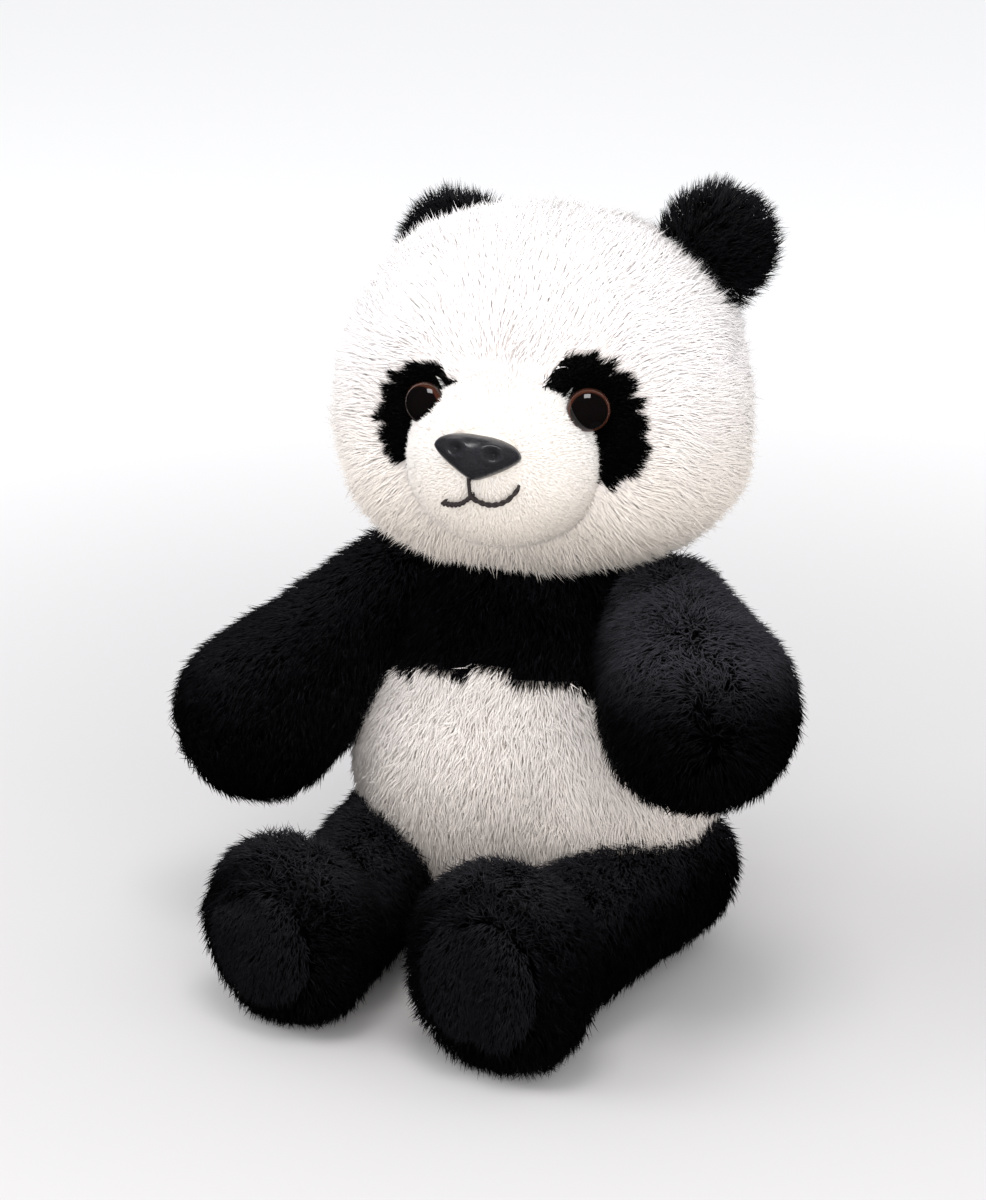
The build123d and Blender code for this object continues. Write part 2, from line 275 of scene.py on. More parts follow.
def joined_shell(forms: Sequence[Form], inset: float, voxel: float) -> bmesh.types.BMesh:
    """Several forms as one closed skin, with a soft hollow where they meet.

    Args:
        forms: the forms to join.
        inset: how far inside their surfaces the skin lies.
        voxel: the size of a cell of the new mesh.

    Returns:
        A bmesh of the skin.
    """
    joined = bpy.data.meshes.new("joined_forms")
    together = bmesh.new()
    for form in forms:
        part = bpy.data.meshes.new("part_form")
        bm = form.shell(inset)
        bm.to_mesh(part)
        together.from_mesh(part)
        bm.free()
        bpy.data.meshes.remove(part)
    together.to_mesh(joined)
    together.free()
    holder = bpy.data.objects.new("joined_forms", joined)
    bpy.context.scene.collection.objects.link(holder)
    remesh = holder.modifiers.new("remesh", "REMESH")
    remesh.mode = "VOXEL"
    remesh.voxel_size = voxel
    result = bpy.data.meshes.new_from_object(holder.evaluated_get(bpy.context.evaluated_depsgraph_get()))
    bm = bmesh.new()
    bm.from_mesh(result)
    bpy.data.objects.remove(holder)
    bpy.data.meshes.remove(joined)
    bpy.data.meshes.remove(result)
    for _ in range(6):
        bmesh.ops.smooth_vert(bm, verts=bm.verts, factor=0.5, use_axis_x=True, use_axis_y=True, use_axis_z=True)
    bmesh.ops.recalc_face_normals(bm, faces=bm.faces)
    return bm


# ------------------------------------------------------------------------------------------------
# Finishes
# ------------------------------------------------------------------------------------------------
Colour = tuple[float, float, float]


def shade_group() -> bpy.types.NodeTree:
    """The pile's colour from root to tip, its darker root being painted shade between the strands, and from cool to
    warm, shared by every pile finish.

    Returns:
        A shader group with colours and a map as inputs and one colour as output.
    """
    found = bpy.data.node_groups.get("pile_shade")
    if found:
        return found
    group = bpy.data.node_groups.new("pile_shade", "ShaderNodeTree")
    face = group.interface
    face.new_socket("Map", in_out="INPUT", socket_type="NodeSocketVector")
    for name in ("Root", "Cool", "Warm"):
        face.new_socket(name, in_out="INPUT", socket_type="NodeSocketColor")
    face.new_socket("Streak", in_out="INPUT", socket_type="NodeSocketFloat")
    face.new_socket("Colour", in_out="OUTPUT", socket_type="NodeSocketColor")
    nodes, links = group.nodes, group.links
    inlet, outlet = nodes.new("NodeGroupInput"), nodes.new("NodeGroupOutput")
    split = nodes.new("ShaderNodeSeparateXYZ")
    links.new(inlet.outputs["Map"], split.inputs[0])
    tint = nodes.new("ShaderNodeMix")
    tint.data_type = "RGBA"
    links.new(split.outputs["Y"], tint.inputs["Factor"])
    links.new(inlet.outputs["Cool"], tint.inputs["A"])
    links.new(inlet.outputs["Warm"], tint.inputs["B"])
    rise = nodes.new("ShaderNodeMapRange")
    rise.interpolation_type = "SMOOTHSTEP"
    rise.inputs["From Max"].default_value = 0.6
    links.new(split.outputs["X"], rise.inputs["Value"])
    along = nodes.new("ShaderNodeMix")
    along.data_type = "RGBA"
    links.new(rise.outputs["Result"], along.inputs["Factor"])
    links.new(inlet.outputs["Root"], along.inputs["A"])
    links.new(tint.outputs["Result"], along.inputs["B"])
    grain = nodes.new("ShaderNodeTexNoise")
    grain.inputs["Scale"].default_value = 90
    grain.inputs["Detail"].default_value = 2
    links.new(inlet.outputs["Map"], grain.inputs["Vector"])
    spread = nodes.new("ShaderNodeMapRange")
    spread.inputs["From Min"].default_value = 0.3
    spread.inputs["From Max"].default_value = 0.7
    spread.inputs["To Min"].default_value = -1.0
    links.new(grain.outputs["Fac"], spread.inputs["Value"])
    amount = nodes.new("ShaderNodeMath")
    amount.operation = "MULTIPLY_ADD"
    amount.inputs[2].default_value = 1.0
    links.new(spread.outputs["Result"], amount.inputs[0])
    links.new(inlet.outputs["Streak"], amount.inputs[1])
    vary = nodes.new("ShaderNodeVectorMath")
    vary.operation = "SCALE"
    links.new(along.outputs["Result"], vary.inputs[0])
    links.new(amount.outputs[0], vary.inputs["Scale"])
    links.new(vary.outputs[0], outlet.inputs["Colour"])
    return group


def new_material(name: str, roughness: float) -> tuple[bpy.types.Material, bpy.types.Node]:
    """A material with its Principled shader.

    Args:
        name: the material's name.
        roughness: the shader's roughness.

    Returns:
        The material and its shader node.
    """
    material = bpy.data.materials.new(name)
    material.use_nodes = True
    shader = material.node_tree.nodes["Principled BSDF"]
    shader.inputs["Roughness"].default_value = roughness
    return material, shader


@dataclass(frozen=True)
class PileFinish:
    """Pile colour: darker at its roots, which is painted shade between the strands, and from cool to warm over the
    toy, where the warmer, darker end low down is partly painted shade and the black pile's cool end is a painted
    sheen.
    """

    name: str
    root: Colour
    cool: Colour
    warm: Colour
    streak: float
    roughness: float
    sheen: float
    sheen_tint: Colour = (1, 1, 1)
    gloss: float = 0.3

    def material(self) -> bpy.types.Material:
        """The finish as a node material, made once."""
        found = bpy.data.materials.get(self.name)
        if found:
            return found
        material, shader = new_material(self.name, self.roughness)
        nodes, links = material.node_tree.nodes, material.node_tree.links
        shader.inputs["Sheen Weight"].default_value = self.sheen
        shader.inputs["Sheen Roughness"].default_value = 0.4
        shader.inputs["Sheen Tint"].default_value = (*self.sheen_tint, 1)
        shader.inputs["Specular IOR Level"].default_value = self.gloss
        place = nodes.new("ShaderNodeUVMap")
        place.uv_map = "OFBake"
        shade = nodes.new("ShaderNodeGroup")
        shade.node_tree = shade_group()
        for name in ("root", "cool", "warm"):
            shade.inputs[name.title()].default_value = (*getattr(self, name), 1)
        shade.inputs["Streak"].default_value = self.streak
        links.new(place.outputs["UV"], shade.inputs["Map"])
        links.new(shade.outputs["Colour"], shader.inputs["Base Color"])
        return material


@dataclass(frozen=True)
class GrainFinish:
    """A material whose colour and surface vary with a fine grain, as moulded plastic or fibre has."""

    name: str
    dark: Colour
    light: Colour
    roughness: float
    grain_mm: float
    bump: float
    coat: float = 0.0

    def material(self) -> bpy.types.Material:
        """The finish as a node material, made once."""
        found = bpy.data.materials.get(self.name)
        if found:
            return found
        material, shader = new_material(self.name, self.roughness)
        nodes, links = material.node_tree.nodes, material.node_tree.links
        shader.inputs["Coat Weight"].default_value = self.coat
        shader.inputs["Coat Roughness"].default_value = 0.12
        place = nodes.new("ShaderNodeTexCoord")
        grain = nodes.new("ShaderNodeTexNoise")
        grain.inputs["Scale"].default_value = 1 / (self.grain_mm * MM)
        grain.inputs["Detail"].default_value = 4
        links.new(place.outputs["Object"], grain.inputs["Vector"])
        ramp = nodes.new("ShaderNodeValToRGB")
        ramp.color_ramp.elements[0].position = 0.35
        ramp.color_ramp.elements[0].color = (*self.dark, 1)
        ramp.color_ramp.elements[1].position = 0.65
        ramp.color_ramp.elements[1].color = (*self.light, 1)
        links.new(grain.outputs["Fac"], ramp.inputs["Fac"])
        links.new(ramp.outputs["Color"], shader.inputs["Base Color"])
        bump = nodes.new("ShaderNodeBump")
        bump.inputs["Strength"].default_value = self.bump
        bump.inputs["Distance"].default_value = 0.2 * MM
        links.new(grain.outputs["Fac"], bump.inputs["Height"])
        links.new(bump.outputs["Normal"], shader.inputs["Normal"])
        return material


@dataclass(frozen=True)
class EyeFinish:
    """A domed eye painted from behind: black pupil, red-brown ring and a dark rim, under a clear coat."""

    name: str = "eye_dome"
    pupil: Colour = (0.004, 0.003, 0.003)
    ring: Colour = (0.060, 0.020, 0.012)
    rim: Colour = (0.018, 0.008, 0.006)

    def material(self) -> bpy.types.Material:
        """The finish as a node material that reads the dome's own radius."""
        found = bpy.data.materials.get(self.name)
        if found:
            return found
        material, shader = new_material(self.name, 0.03)
        shader.inputs["Specular IOR Level"].default_value = 0.55
        nodes, links = material.node_tree.nodes, material.node_tree.links
        across = nodes.new("ShaderNodeAttribute")
        across.attribute_name = "across"
        ramp = nodes.new("ShaderNodeValToRGB")
        stops = [(0.0, self.pupil), (0.82, self.pupil), (0.87, self.ring), (0.95, self.ring), (0.99, self.rim)]
        elements = ramp.color_ramp.elements
        while len(elements) < len(stops):
            elements.new(1.0)
        for element, (position, colour) in zip(elements, stops):
            element.position = position
            element.color = (*colour, 1)
        links.new(across.outputs["Fac"], ramp.inputs["Fac"])
        place = nodes.new("ShaderNodeTexCoord")
        fleck = nodes.new("ShaderNodeTexNoise")
        fleck.inputs["Scale"].default_value = 900
        links.new(place.outputs["Object"], fleck.inputs["Vector"])
        mix = nodes.new("ShaderNodeMix")
        mix.data_type = "RGBA"
        mix.blend_type = "MULTIPLY"
        mix.inputs["Factor"].default_value = 0.5
        links.new(ramp.outputs["Color"], mix.inputs["A"])
        links.new(fleck.outputs["Color"], mix.inputs["B"])
        links.new(mix.outputs["Result"], shader.inputs["Base Color"])
        return material


# Every pile's root colour, darker than its tips, is painted shade between the strands. The black pile's cool colour,
# far paler than its warm one, is a painted sheen that pile takes where it faces up.
BLACK = PileFinish(
    "black_pile", root=(0.0002, 0.0002, 0.0004), cool=(0.0430, 0.0415, 0.0500), warm=(0.0006, 0.0006, 0.0011),
    streak=0.4, roughness=0.5, sheen=0.001, sheen_tint=(0.75, 0.8, 1.0), gloss=0.16,
)
BLACK_SHORT = PileFinish(
    "black_short_pile", root=(0.0003, 0.0003, 0.0003), cool=(0.0010, 0.0010, 0.0010), warm=(0.0015, 0.0012, 0.0011),
    streak=0.4, roughness=0.5, sheen=0.002, gloss=0.15,
)
# The white, belly and cream pile grow towards their warm colours low down; these are partly the pile's cream tone and
# partly painted shade.
WHITE = PileFinish(
    "white_pile", root=(0.87, 0.81, 0.78), cool=(0.900, 0.868, 0.870), warm=(0.905, 0.815, 0.71),
    streak=0.015, roughness=0.8, sheen=0.15, gloss=0.08,
)
BELLY = PileFinish(
    "belly_pile", root=(0.72, 0.66, 0.61), cool=(0.80, 0.755, 0.73), warm=(0.80, 0.725, 0.66),
    streak=0.03, roughness=0.8, sheen=0.12, gloss=0.06,
)
CREAM = PileFinish(
    "cream_short_pile", root=(0.86, 0.79, 0.71), cool=(0.895, 0.872, 0.855), warm=(0.900, 0.805, 0.70),
    streak=0.015, roughness=0.85, sheen=0.15, gloss=0.05,
)
EYE = EyeFinish()
NOSE = GrainFinish("nose_moulding", (0.012, 0.012, 0.014), (0.024, 0.024, 0.028), 0.34, 0.5, 0.25, coat=0.25)
FLOSS = GrainFinish("mouth_floss", (0.0015, 0.0014, 0.0014), (0.009, 0.008, 0.0075), 0.55, 0.25, 0.5)
FIBRE = GrainFinish("fibre_stuffing", (0.72, 0.72, 0.71), (0.93, 0.93, 0.92), 0.9, 2.5, 0.9)
BAG = GrainFinish("bag_cloth", (0.62, 0.60, 0.55), (0.80, 0.78, 0.73), 0.85, 0.8, 0.6)
PELLET = GrainFinish("pellet_plastic", (0.6, 0.6, 0.58), (0.85, 0.85, 0.83), 0.4, 3.0, 0.9)
WASHER = GrainFinish("washer_plastic", (0.62, 0.62, 0.58), (0.78, 0.78, 0.74), 0.45, 1.0, 0.2)


# ------------------------------------------------------------------------------------------------
# Pile
# ------------------------------------------------------------------------------------------------
Field = Callable[[Points], Points]


@dataclass(frozen=True)
class Pile:
    """How long, thick and dense a pile is, and how it lies.

    Soft pile is shaded more like the cloth under it. Pile can also be painted paler where it faces up, a painted
    sheen that stands in for the light on its upper side.
    """

    length: float
    width: float
    per_mm2: float
    lean: float
    droop: float
    scatter: float
    tuft: float
    pull: float
    ripple: float = 0.012
    soft: float = 0.0
    # How far the pile is drawn towards its paler cool colour where it faces up: a painted sheen, standing in for the
    # light on its upper side.
    painted_top_sheen: float = 0.0


LONG_PILE = Pile(10.5 * MM, 0.42 * MM, 2.6, 1.00, 0.38, 0.20, 2.6 * MM, 0.25, soft=0.8)
NAPE_PILE = Pile(10.5 * MM, 0.50 * MM, 1.8, 1.00, 0.38, 0.20, 2.6 * MM, 0.25, soft=0.8)
BELLY_PILE = Pile(8.5 * MM, 0.44 * MM, 2.0, 0.92, 0.45, 0.30, 3.0 * MM, 0.35, soft=0.75)
BACK_PILE = Pile(8.5 * MM, 0.56 * MM, 1.2, 0.92, 0.45, 0.30, 3.0 * MM, 0.35, soft=0.75)
LIMB_PILE = Pile(8.5 * MM, 0.42 * MM, 1.8, 0.62, 0.55, 0.28, 2.2 * MM, 0.32)
UNDER_PILE = Pile(8.5 * MM, 0.50 * MM, 1.3, 0.62, 0.55, 0.28, 2.2 * MM, 0.32)
# The chest, sole and ear pile are painted paler where they face up: a painted sheen.
CHEST_PILE = Pile(8.0 * MM, 0.46 * MM, 1.6, 0.80, 0.50, 0.26, 2.4 * MM, 0.30, painted_top_sheen=0.2)
SOLE_PILE = Pile(5.5 * MM, 0.36 * MM, 2.8, 0.45, 0.5, 0.34, 2.0 * MM, 0.35, painted_top_sheen=0.6)
EAR_PILE = Pile(10.5 * MM, 0.36 * MM, 3.8, 0.50, 0.35, 0.42, 3.6 * MM, 0.60, painted_top_sheen=0.2)
MUZZLE_PILE = Pile(2.8 * MM, 0.30 * MM, 5.0, 0.95, 0.35, 0.28, 1.2 * MM, 0.2, soft=0.6)
PATCH_PILE = Pile(4.2 * MM, 0.34 * MM, 5.5, 0.70, 0.45, 0.30, 1.4 * MM, 0.25)


def strand_template() -> tuple[Points, Points]:
    """One slim closed strand, pointed at both ends, along Z from 0 to 1.

    Returns:
        Its points and its triangles.
    """
    bm = bmesh.new()
    upper, lower = Matrix.Translation((0, 0, 0.7)), Matrix.Translation((0, 0, 0.2))
    bmesh.ops.create_cone(bm, cap_ends=False, segments=3, radius1=0.5, radius2=0, depth=0.6, matrix=upper)
    bmesh.ops.create_cone(bm, cap_ends=False, segments=3, radius1=0, radius2=0.5, depth=0.4, matrix=lower)
    bmesh.ops.remove_doubles(bm, verts=bm.verts, dist=1e-4)
    bmesh.ops.triangulate(bm, faces=bm.faces)
    bmesh.ops.recalc_face_normals(bm, faces=bm.faces)
    bm.verts.index_update()
    points = coordinates(bm)
    points[np.hypot(points[:, 0], points[:, 1]) < 1e-3, :2] = 0
    faces = np.array([[v.index for v in f.verts] for f in bm.faces])
    bm.free()
    return points, faces


TEMPLATE_POINTS, TEMPLATE_FACES = strand_template()


@dataclass
class Roots:
    """Where strands start on a skin."""

    places: Points
    normals: Points


def scatter_roots(bm: bmesh.types.BMesh, per_mm2: float, rng: np.random.Generator) -> Roots:
    """Spread roots evenly over a skin.

    Args:
        bm: the skin, still a single layer.
        per_mm2: how many roots on a square millimetre.
        rng: the source of chance.

    Returns:
        The roots.
    """
    flat = bm.copy()
    bmesh.ops.triangulate(flat, faces=flat.faces)
    flat.normal_update()
    flat.verts.index_update()
    places = coordinates(flat)
    normals = np.array([v.normal for v in flat.verts]).reshape(-1, 3)
    faces = np.array([[v.index for v in f.verts] for f in flat.faces])
    flat.free()
    a, b, c = (places[faces[:, k]] for k in range(3))
    areas = np.linalg.norm(np.cross(b - a, c - a), axis=1) / 2
    share = 1.0
    count = int(areas.sum() / MM**2 * per_mm2 * share)
    chosen = np.searchsorted(np.cumsum(areas) / areas.sum(), rng.random(count))
    u, v = rng.random(count), rng.random(count)
    over = u + v > 1
    u[over], v[over] = 1 - u[over], 1 - v[over]
    weights = np.stack([1 - u - v, u, v], 1)[:, :, None]
    picked = faces[np.minimum(chosen, len(faces) - 1)]
    return Roots((places[picked] * weights).sum(1), unit((normals[picked] * weights).sum(1)))


def gather_tufts(roots: Points, tips: Points, tuft: float, pull: float, rng: np.random.Generator) -> Points:
    """Draw neighbouring tips together, as pile gathers into small locks.

    Args:
        roots: where the strands start.
        tips: where they end.
        tuft: the size of a lock.
        pull: how far a tip moves to its lock's own tip, from 0 to 1.
        rng: the source of chance.

    Returns:
        The moved tips.
    """
    area_share = 0.35 * (tuft / MM) ** 2
    count = max(1, int(len(roots) / max(area_share * 1.8, 1)))
    leaders = rng.choice(len(roots), count, replace=False)
    tree = kdtree.KDTree(count)
    for k, leader in enumerate(leaders):
        tree.insert(roots[leader], k)
    tree.balance()
    nearest = leaders[np.array([tree.find(p)[1] for p in roots])]
    return tips + (tips[nearest] - tips) * pull * rng.uniform(0.4, 1.2, (len(roots), 1))


@dataclass
class Coat:
    """The finished pile of one panel: its strands as points, triangles, a shade map and shading normals."""

    points: Points
    faces: Points
    shades: Points
    normals: Points


def grow(roots: Roots, pile: Pile, flow: Field, shade: Field, trim: Field, rng: np.random.Generator) -> Coat:
    """Grow a strand on every root.

    Args:
        roots: where the strands start.
        pile: how they look and lie.
        flow: the way that the pile lies at a place.
        shade: from 0, cool, to 1, warm, at a place.
        trim: how much of its length a strand keeps at a place.
        rng: the source of chance.

    Returns:
        The coat.
    """
    places, normals = roots.places, roots.normals
    count = len(places)
    lie = flow(places) + drift(places, pile.ripple) * 0.5 + rng.normal(0, pile.scatter, (count, 3))
    lie = unit(lie - (lie * normals).sum(1, keepdims=True) * normals)
    length = pile.length * trim(places) * rng.uniform(0.72, 1.15, count)
    lean = pile.lean + rng.normal(0, 0.16, count) + drift(places, pile.ripple * 1.7)[:, 0] * 0.3
    lean = np.clip(lean, 0.05, 1.35)[:, None]
    bend = np.clip(lean + pile.droop + rng.normal(0, 0.12, (count, 1)), 0.1, 1.5)
    size = length[:, None]
    start = places - normals * 0.5 * MM
    knee = places + size * 0.45 * (normals * np.cos(lean) + lie * np.sin(lean))
    tip = knee + size * 0.55 * (normals * np.cos(bend) + lie * np.sin(bend))
    tip = gather_tufts(places, tip, pile.tuft, pile.pull, rng)
    along = unit(tip - start)
    side = unit(np.cross(along, normals) + 1e-6)
    back = np.cross(along, side)
    width = pile.width * rng.uniform(0.75, 1.2, (count, 1)) * np.clip(size / pile.length + 0.2, 0.4, 1)
    points = np.empty((count, len(TEMPLATE_POINTS), 3))
    shades = np.empty((count, len(TEMPLATE_POINTS), 2))
    facing = np.empty((count, len(TEMPLATE_POINTS), 3))
    # Painted sheen: pile that faces up is drawn towards the finish's cool colour, which on black pile is far paler,
    # standing in for the light on its upper side.
    upward_sheen = pile.painted_top_sheen * np.clip(normals[:, 2] * 1.2, 0, 1) ** 2.5
    tint = np.clip(shade(places) - upward_sheen + rng.normal(0, 0.05, count), 0.04, 0.97)
    for k, (x, y, z) in enumerate(TEMPLATE_POINTS):
        centre = start if z < 0.1 else (tip if z > 0.9 else knee)
        points[:, k] = centre + (side * x + back * y) * width
        shades[:, k] = np.stack([np.full(count, 0.03 + 0.94 * z), tint + 0.05 * x], 1)
        own = along * math.copysign(1, z - 0.5) if x == y == 0 else unit(side * x + back * y)
        facing[:, k] = unit(own * (1 - pile.soft) + normals * pile.soft)
    points[:, :, 2] = np.maximum(points[:, :, 2], FLOOR_CLEARANCE)
    offsets = np.arange(count)[:, None, None] * len(TEMPLATE_POINTS)
    faces = (TEMPLATE_FACES[None] + offsets).reshape(-1, 3)
    shade_map = np.clip(shades.reshape(-1, 2), 0.01, 0.99)
    return Coat(points.reshape(-1, 3), faces, shade_map, facing.reshape(-1, 3))


# ------------------------------------------------------------------------------------------------
# Panels
# ------------------------------------------------------------------------------------------------
def mesh_object(name: str, points: Points, faces: Points, material: bpy.types.Material) -> bpy.types.Object:
    """An object of triangles, at the origin.

    Args:
        name: its name.
        points: rows of x, y, z.
        faces: rows of three point numbers.
        material: its material.

    Returns:
        The object.
    """
    mesh = bpy.data.meshes.new(name)
    mesh.vertices.add(len(points))
    mesh.vertices.foreach_set("co", points.astype(np.float32).ravel())
    mesh.loops.add(faces.size)
    mesh.loops.foreach_set("vertex_index", faces.astype(np.int32).ravel())
    mesh.polygons.add(len(faces))
    mesh.polygons.foreach_set("loop_start", np.arange(0, faces.size, 3, dtype=np.int32))
    mesh.update(calc_edges=True)
    mesh.polygons.foreach_set("use_smooth", np.ones(len(faces), bool))
    mesh.materials.append(material)
    made = bpy.data.objects.new(name, mesh)
    bpy.context.scene.collection.objects.link(made)
    return made


def bm_object(name: str, bm: bmesh.types.BMesh, material: bpy.types.Material) -> bpy.types.Object:
    """An object of a bmesh, smooth shaded, at the origin; the bmesh is freed."""
    mesh = bpy.data.meshes.new(name)
    for face in bm.faces:
        face.smooth = True
    bm.to_mesh(mesh)
    bm.free()
    mesh.materials.append(material)
    made = bpy.data.objects.new(name, mesh)
    bpy.context.scene.collection.objects.link(made)
    return made


def cut_panel(skin: bmesh.types.BMesh, seams: Sequence[Seam], keep: Optional[Field]) -> bmesh.types.BMesh:
    """One panel of a skin.

    Args:
        skin: the whole closed skin, which is left as it is.
        seams: planes as a point and a normal; the panel is on the side that each normal points to.
        keep: which places stay, as values above 0, or None for all.

    Returns:
        The panel, a single open layer.
    """
    bm = skin.copy()
    for point, normal in seams:
        whole = [*bm.verts, *bm.edges, *bm.faces]
        bmesh.ops.bisect_plane(bm, geom=whole, dist=1e-7, plane_co=point, plane_no=normal, clear_inner=True)
    if keep is not None:
        centres = np.array([f.calc_center_median() for f in bm.faces]).reshape(-1, 3)
        out = [f for f, value in zip(bm.faces, keep(centres)) if value <= 0]
        bmesh.ops.delete(bm, geom=out, context="FACES")
    bm.normal_update()
    return bm


@dataclass
class Panel:
    """One sewn panel with its pile."""

    name: str
    node: str
    body: str
    slot: str
    finish: PileFinish
    pile: Pile
    flow: Field
    shade: Field
    seams: Sequence[Seam] = ()
    keep: Optional[Field] = None
    trim: Field = lambda places: np.ones(len(places))
    bare: Optional[Field] = None

    def make(self, skin: bmesh.types.BMesh, seed: int) -> bpy.types.Object:
        """Cut the panel from its skin, grow its pile and give it to its body.

        Args:
            skin: the whole skin that the panel is part of.
            seed: the start of this panel's chance.

        Returns:
            The finished piece.
        """
        rng = np.random.default_rng(seed)
        cloth = cut_panel(skin, self.seams, self.keep)
        roots = scatter_roots(cloth, self.pile.per_mm2, rng)
        if self.bare is not None:
            shown = self.bare(roots.places) <= 0
            roots = Roots(roots.places[shown], roots.normals[shown])
        coat = grow(roots, self.pile, self.flow, self.shade, self.trim, rng)
        bmesh.ops.solidify(cloth, geom=list(cloth.faces), thickness=CLOTH_THICKNESS)
        bmesh.ops.triangulate(cloth, faces=cloth.faces)
        cloth.verts.index_update()
        base = coordinates(cloth)
        base[:, 2] = np.maximum(base[:, 2], FLOOR_CLEARANCE)
        base_faces = np.array([[v.index for v in f.verts] for f in cloth.faces])
        cloth.normal_update()
        base_facing = np.array([v.normal for v in cloth.verts])
        cloth.free()
        points = np.vstack([base, coat.points])
        faces = np.vstack([base_faces, coat.faces + len(base)])
        made = mesh_object(self.name, points, faces, self.finish.material())
        # The cloth under the pile takes a near-root colour, painted shade under the strands.
        base_shades = np.stack([np.full(len(base), 0.10), np.clip(self.shade(base), 0.04, 0.96)], 1)
        shades = np.vstack([base_shades, coat.shades])
        layer = made.data.uv_layers.new(name="OFBake")
        layer.data.foreach_set("uv", shades[faces.ravel()].astype(np.float32).ravel())
        if self.pile.soft:
            made.data.normals_split_custom_set_from_vertices(np.vstack([base_facing, coat.normals]))
        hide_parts(self.node)
        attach(made, self.body)
        log.info("%s: %d strands, %d triangles", self.name, len(roots.places), len(faces))
        return made


def filling(name: str, node: str, body: str, bm: bmesh.types.BMesh) -> bpy.types.Object:
    """A lumpy mass of fibre inside a skin.

    Args:
        name: the piece's name.
        node: the frame's node that it stands for.
        body: the body that it moves with.
        bm: its closed surface, which is freed.

    Returns:
        The finished piece.
    """
    bm.normal_update()
    places = coordinates(bm)
    normals = np.array([v.normal for v in bm.verts])
    lumps = noise_height(places, 9 * MM) * 0.8 * MM
    places -= normals * (0.8 * MM + lumps)[:, None]
    places[:, 2] = np.maximum(places[:, 2], 3 * FLOOR_CLEARANCE)
    move_to(bm, places)
    made = bm_object(name, bm, FIBRE.material())
    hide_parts(node)
    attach(made, body)
    log.info("%s: %d faces", name, len(made.data.polygons))
    return made


def noise_height(points: Points, size: float) -> Points:
    """A slow random height from 0 to 1 at each point."""
    return np.array([noise.noise(Vector(p) / size) for p in points]) * 0.5 + 0.5


def soften(bm: bmesh.types.BMesh, size: float, height: float) -> None:
    """Give a skin the slow unevenness that stuffing makes.

    Args:
        bm: the skin.
        size: the size of one lump.
        height: how far lumps stand out or in.
    """
    bm.normal_update()
    places = coordinates(bm)
    normals = np.array([v.normal for v in bm.verts])
    move_to(bm, places + normals * ((noise_height(places, size) - 0.5) * 2 * height)[:, None])


@dataclass(frozen=True)
class Crease:
    """A sunk line in a skin, as a seam or a fold makes, or with a negative depth a swelling."""

    line: Sequence[Vector]
    depth: float
    width: float

    def near(self, points: Points) -> Points:
        """From 0, far from the line, to 1 on it."""
        nearest = np.full(len(points), 1.0)
        for a, b in zip(self.line[:-1], self.line[1:]):
            start, along = np.array(a), np.array(b - a)
            t = np.clip((points - start) @ along / (along @ along), 0, 1)
            nearest = np.minimum(nearest, np.linalg.norm(points - start - t[:, None] * along, axis=1))
        return np.exp(-((nearest / self.width) ** 2))


def sink(bm: bmesh.types.BMesh, creases: Sequence[Crease]) -> None:
    """Press creases into a skin."""
    bm.normal_update()
    places = coordinates(bm)
    normals = np.array([v.normal for v in bm.verts])
    for crease in creases:
        places = places - normals * (crease.near(places) * crease.depth)[:, None]
    move_to(bm, places)


def dent(bm: bmesh.types.BMesh, form: Form, towards: Vector, gap: float) -> None:
    """Push a skin out of a form that sits in it.

    Args:
        bm: the skin.
        form: what sits in the skin.
        towards: the point that the skin moves to.
        gap: how far clear of the form it ends.
    """
    places = coordinates(bm)
    step = unit(np.array(towards) - places) * 0.5 * MM
    for _ in range(120):
        inside = form.depth(places) > -gap
        if not inside.any():
            break
        places[inside] += step[inside]
    move_to(bm, places)


# ------------------------------------------------------------------------------------------------
# Sub-assemblies
# ------------------------------------------------------------------------------------------------
@dataclass(frozen=True)
class EyeSide:
    """Where one eye and its patch sit on the face, sideways and up from the head's centre."""

    side: int
    name: str
    eye: tuple[float, float]
    patch: tuple[float, float]
    patch_radii: tuple[float, float]
    tilt_degrees: float


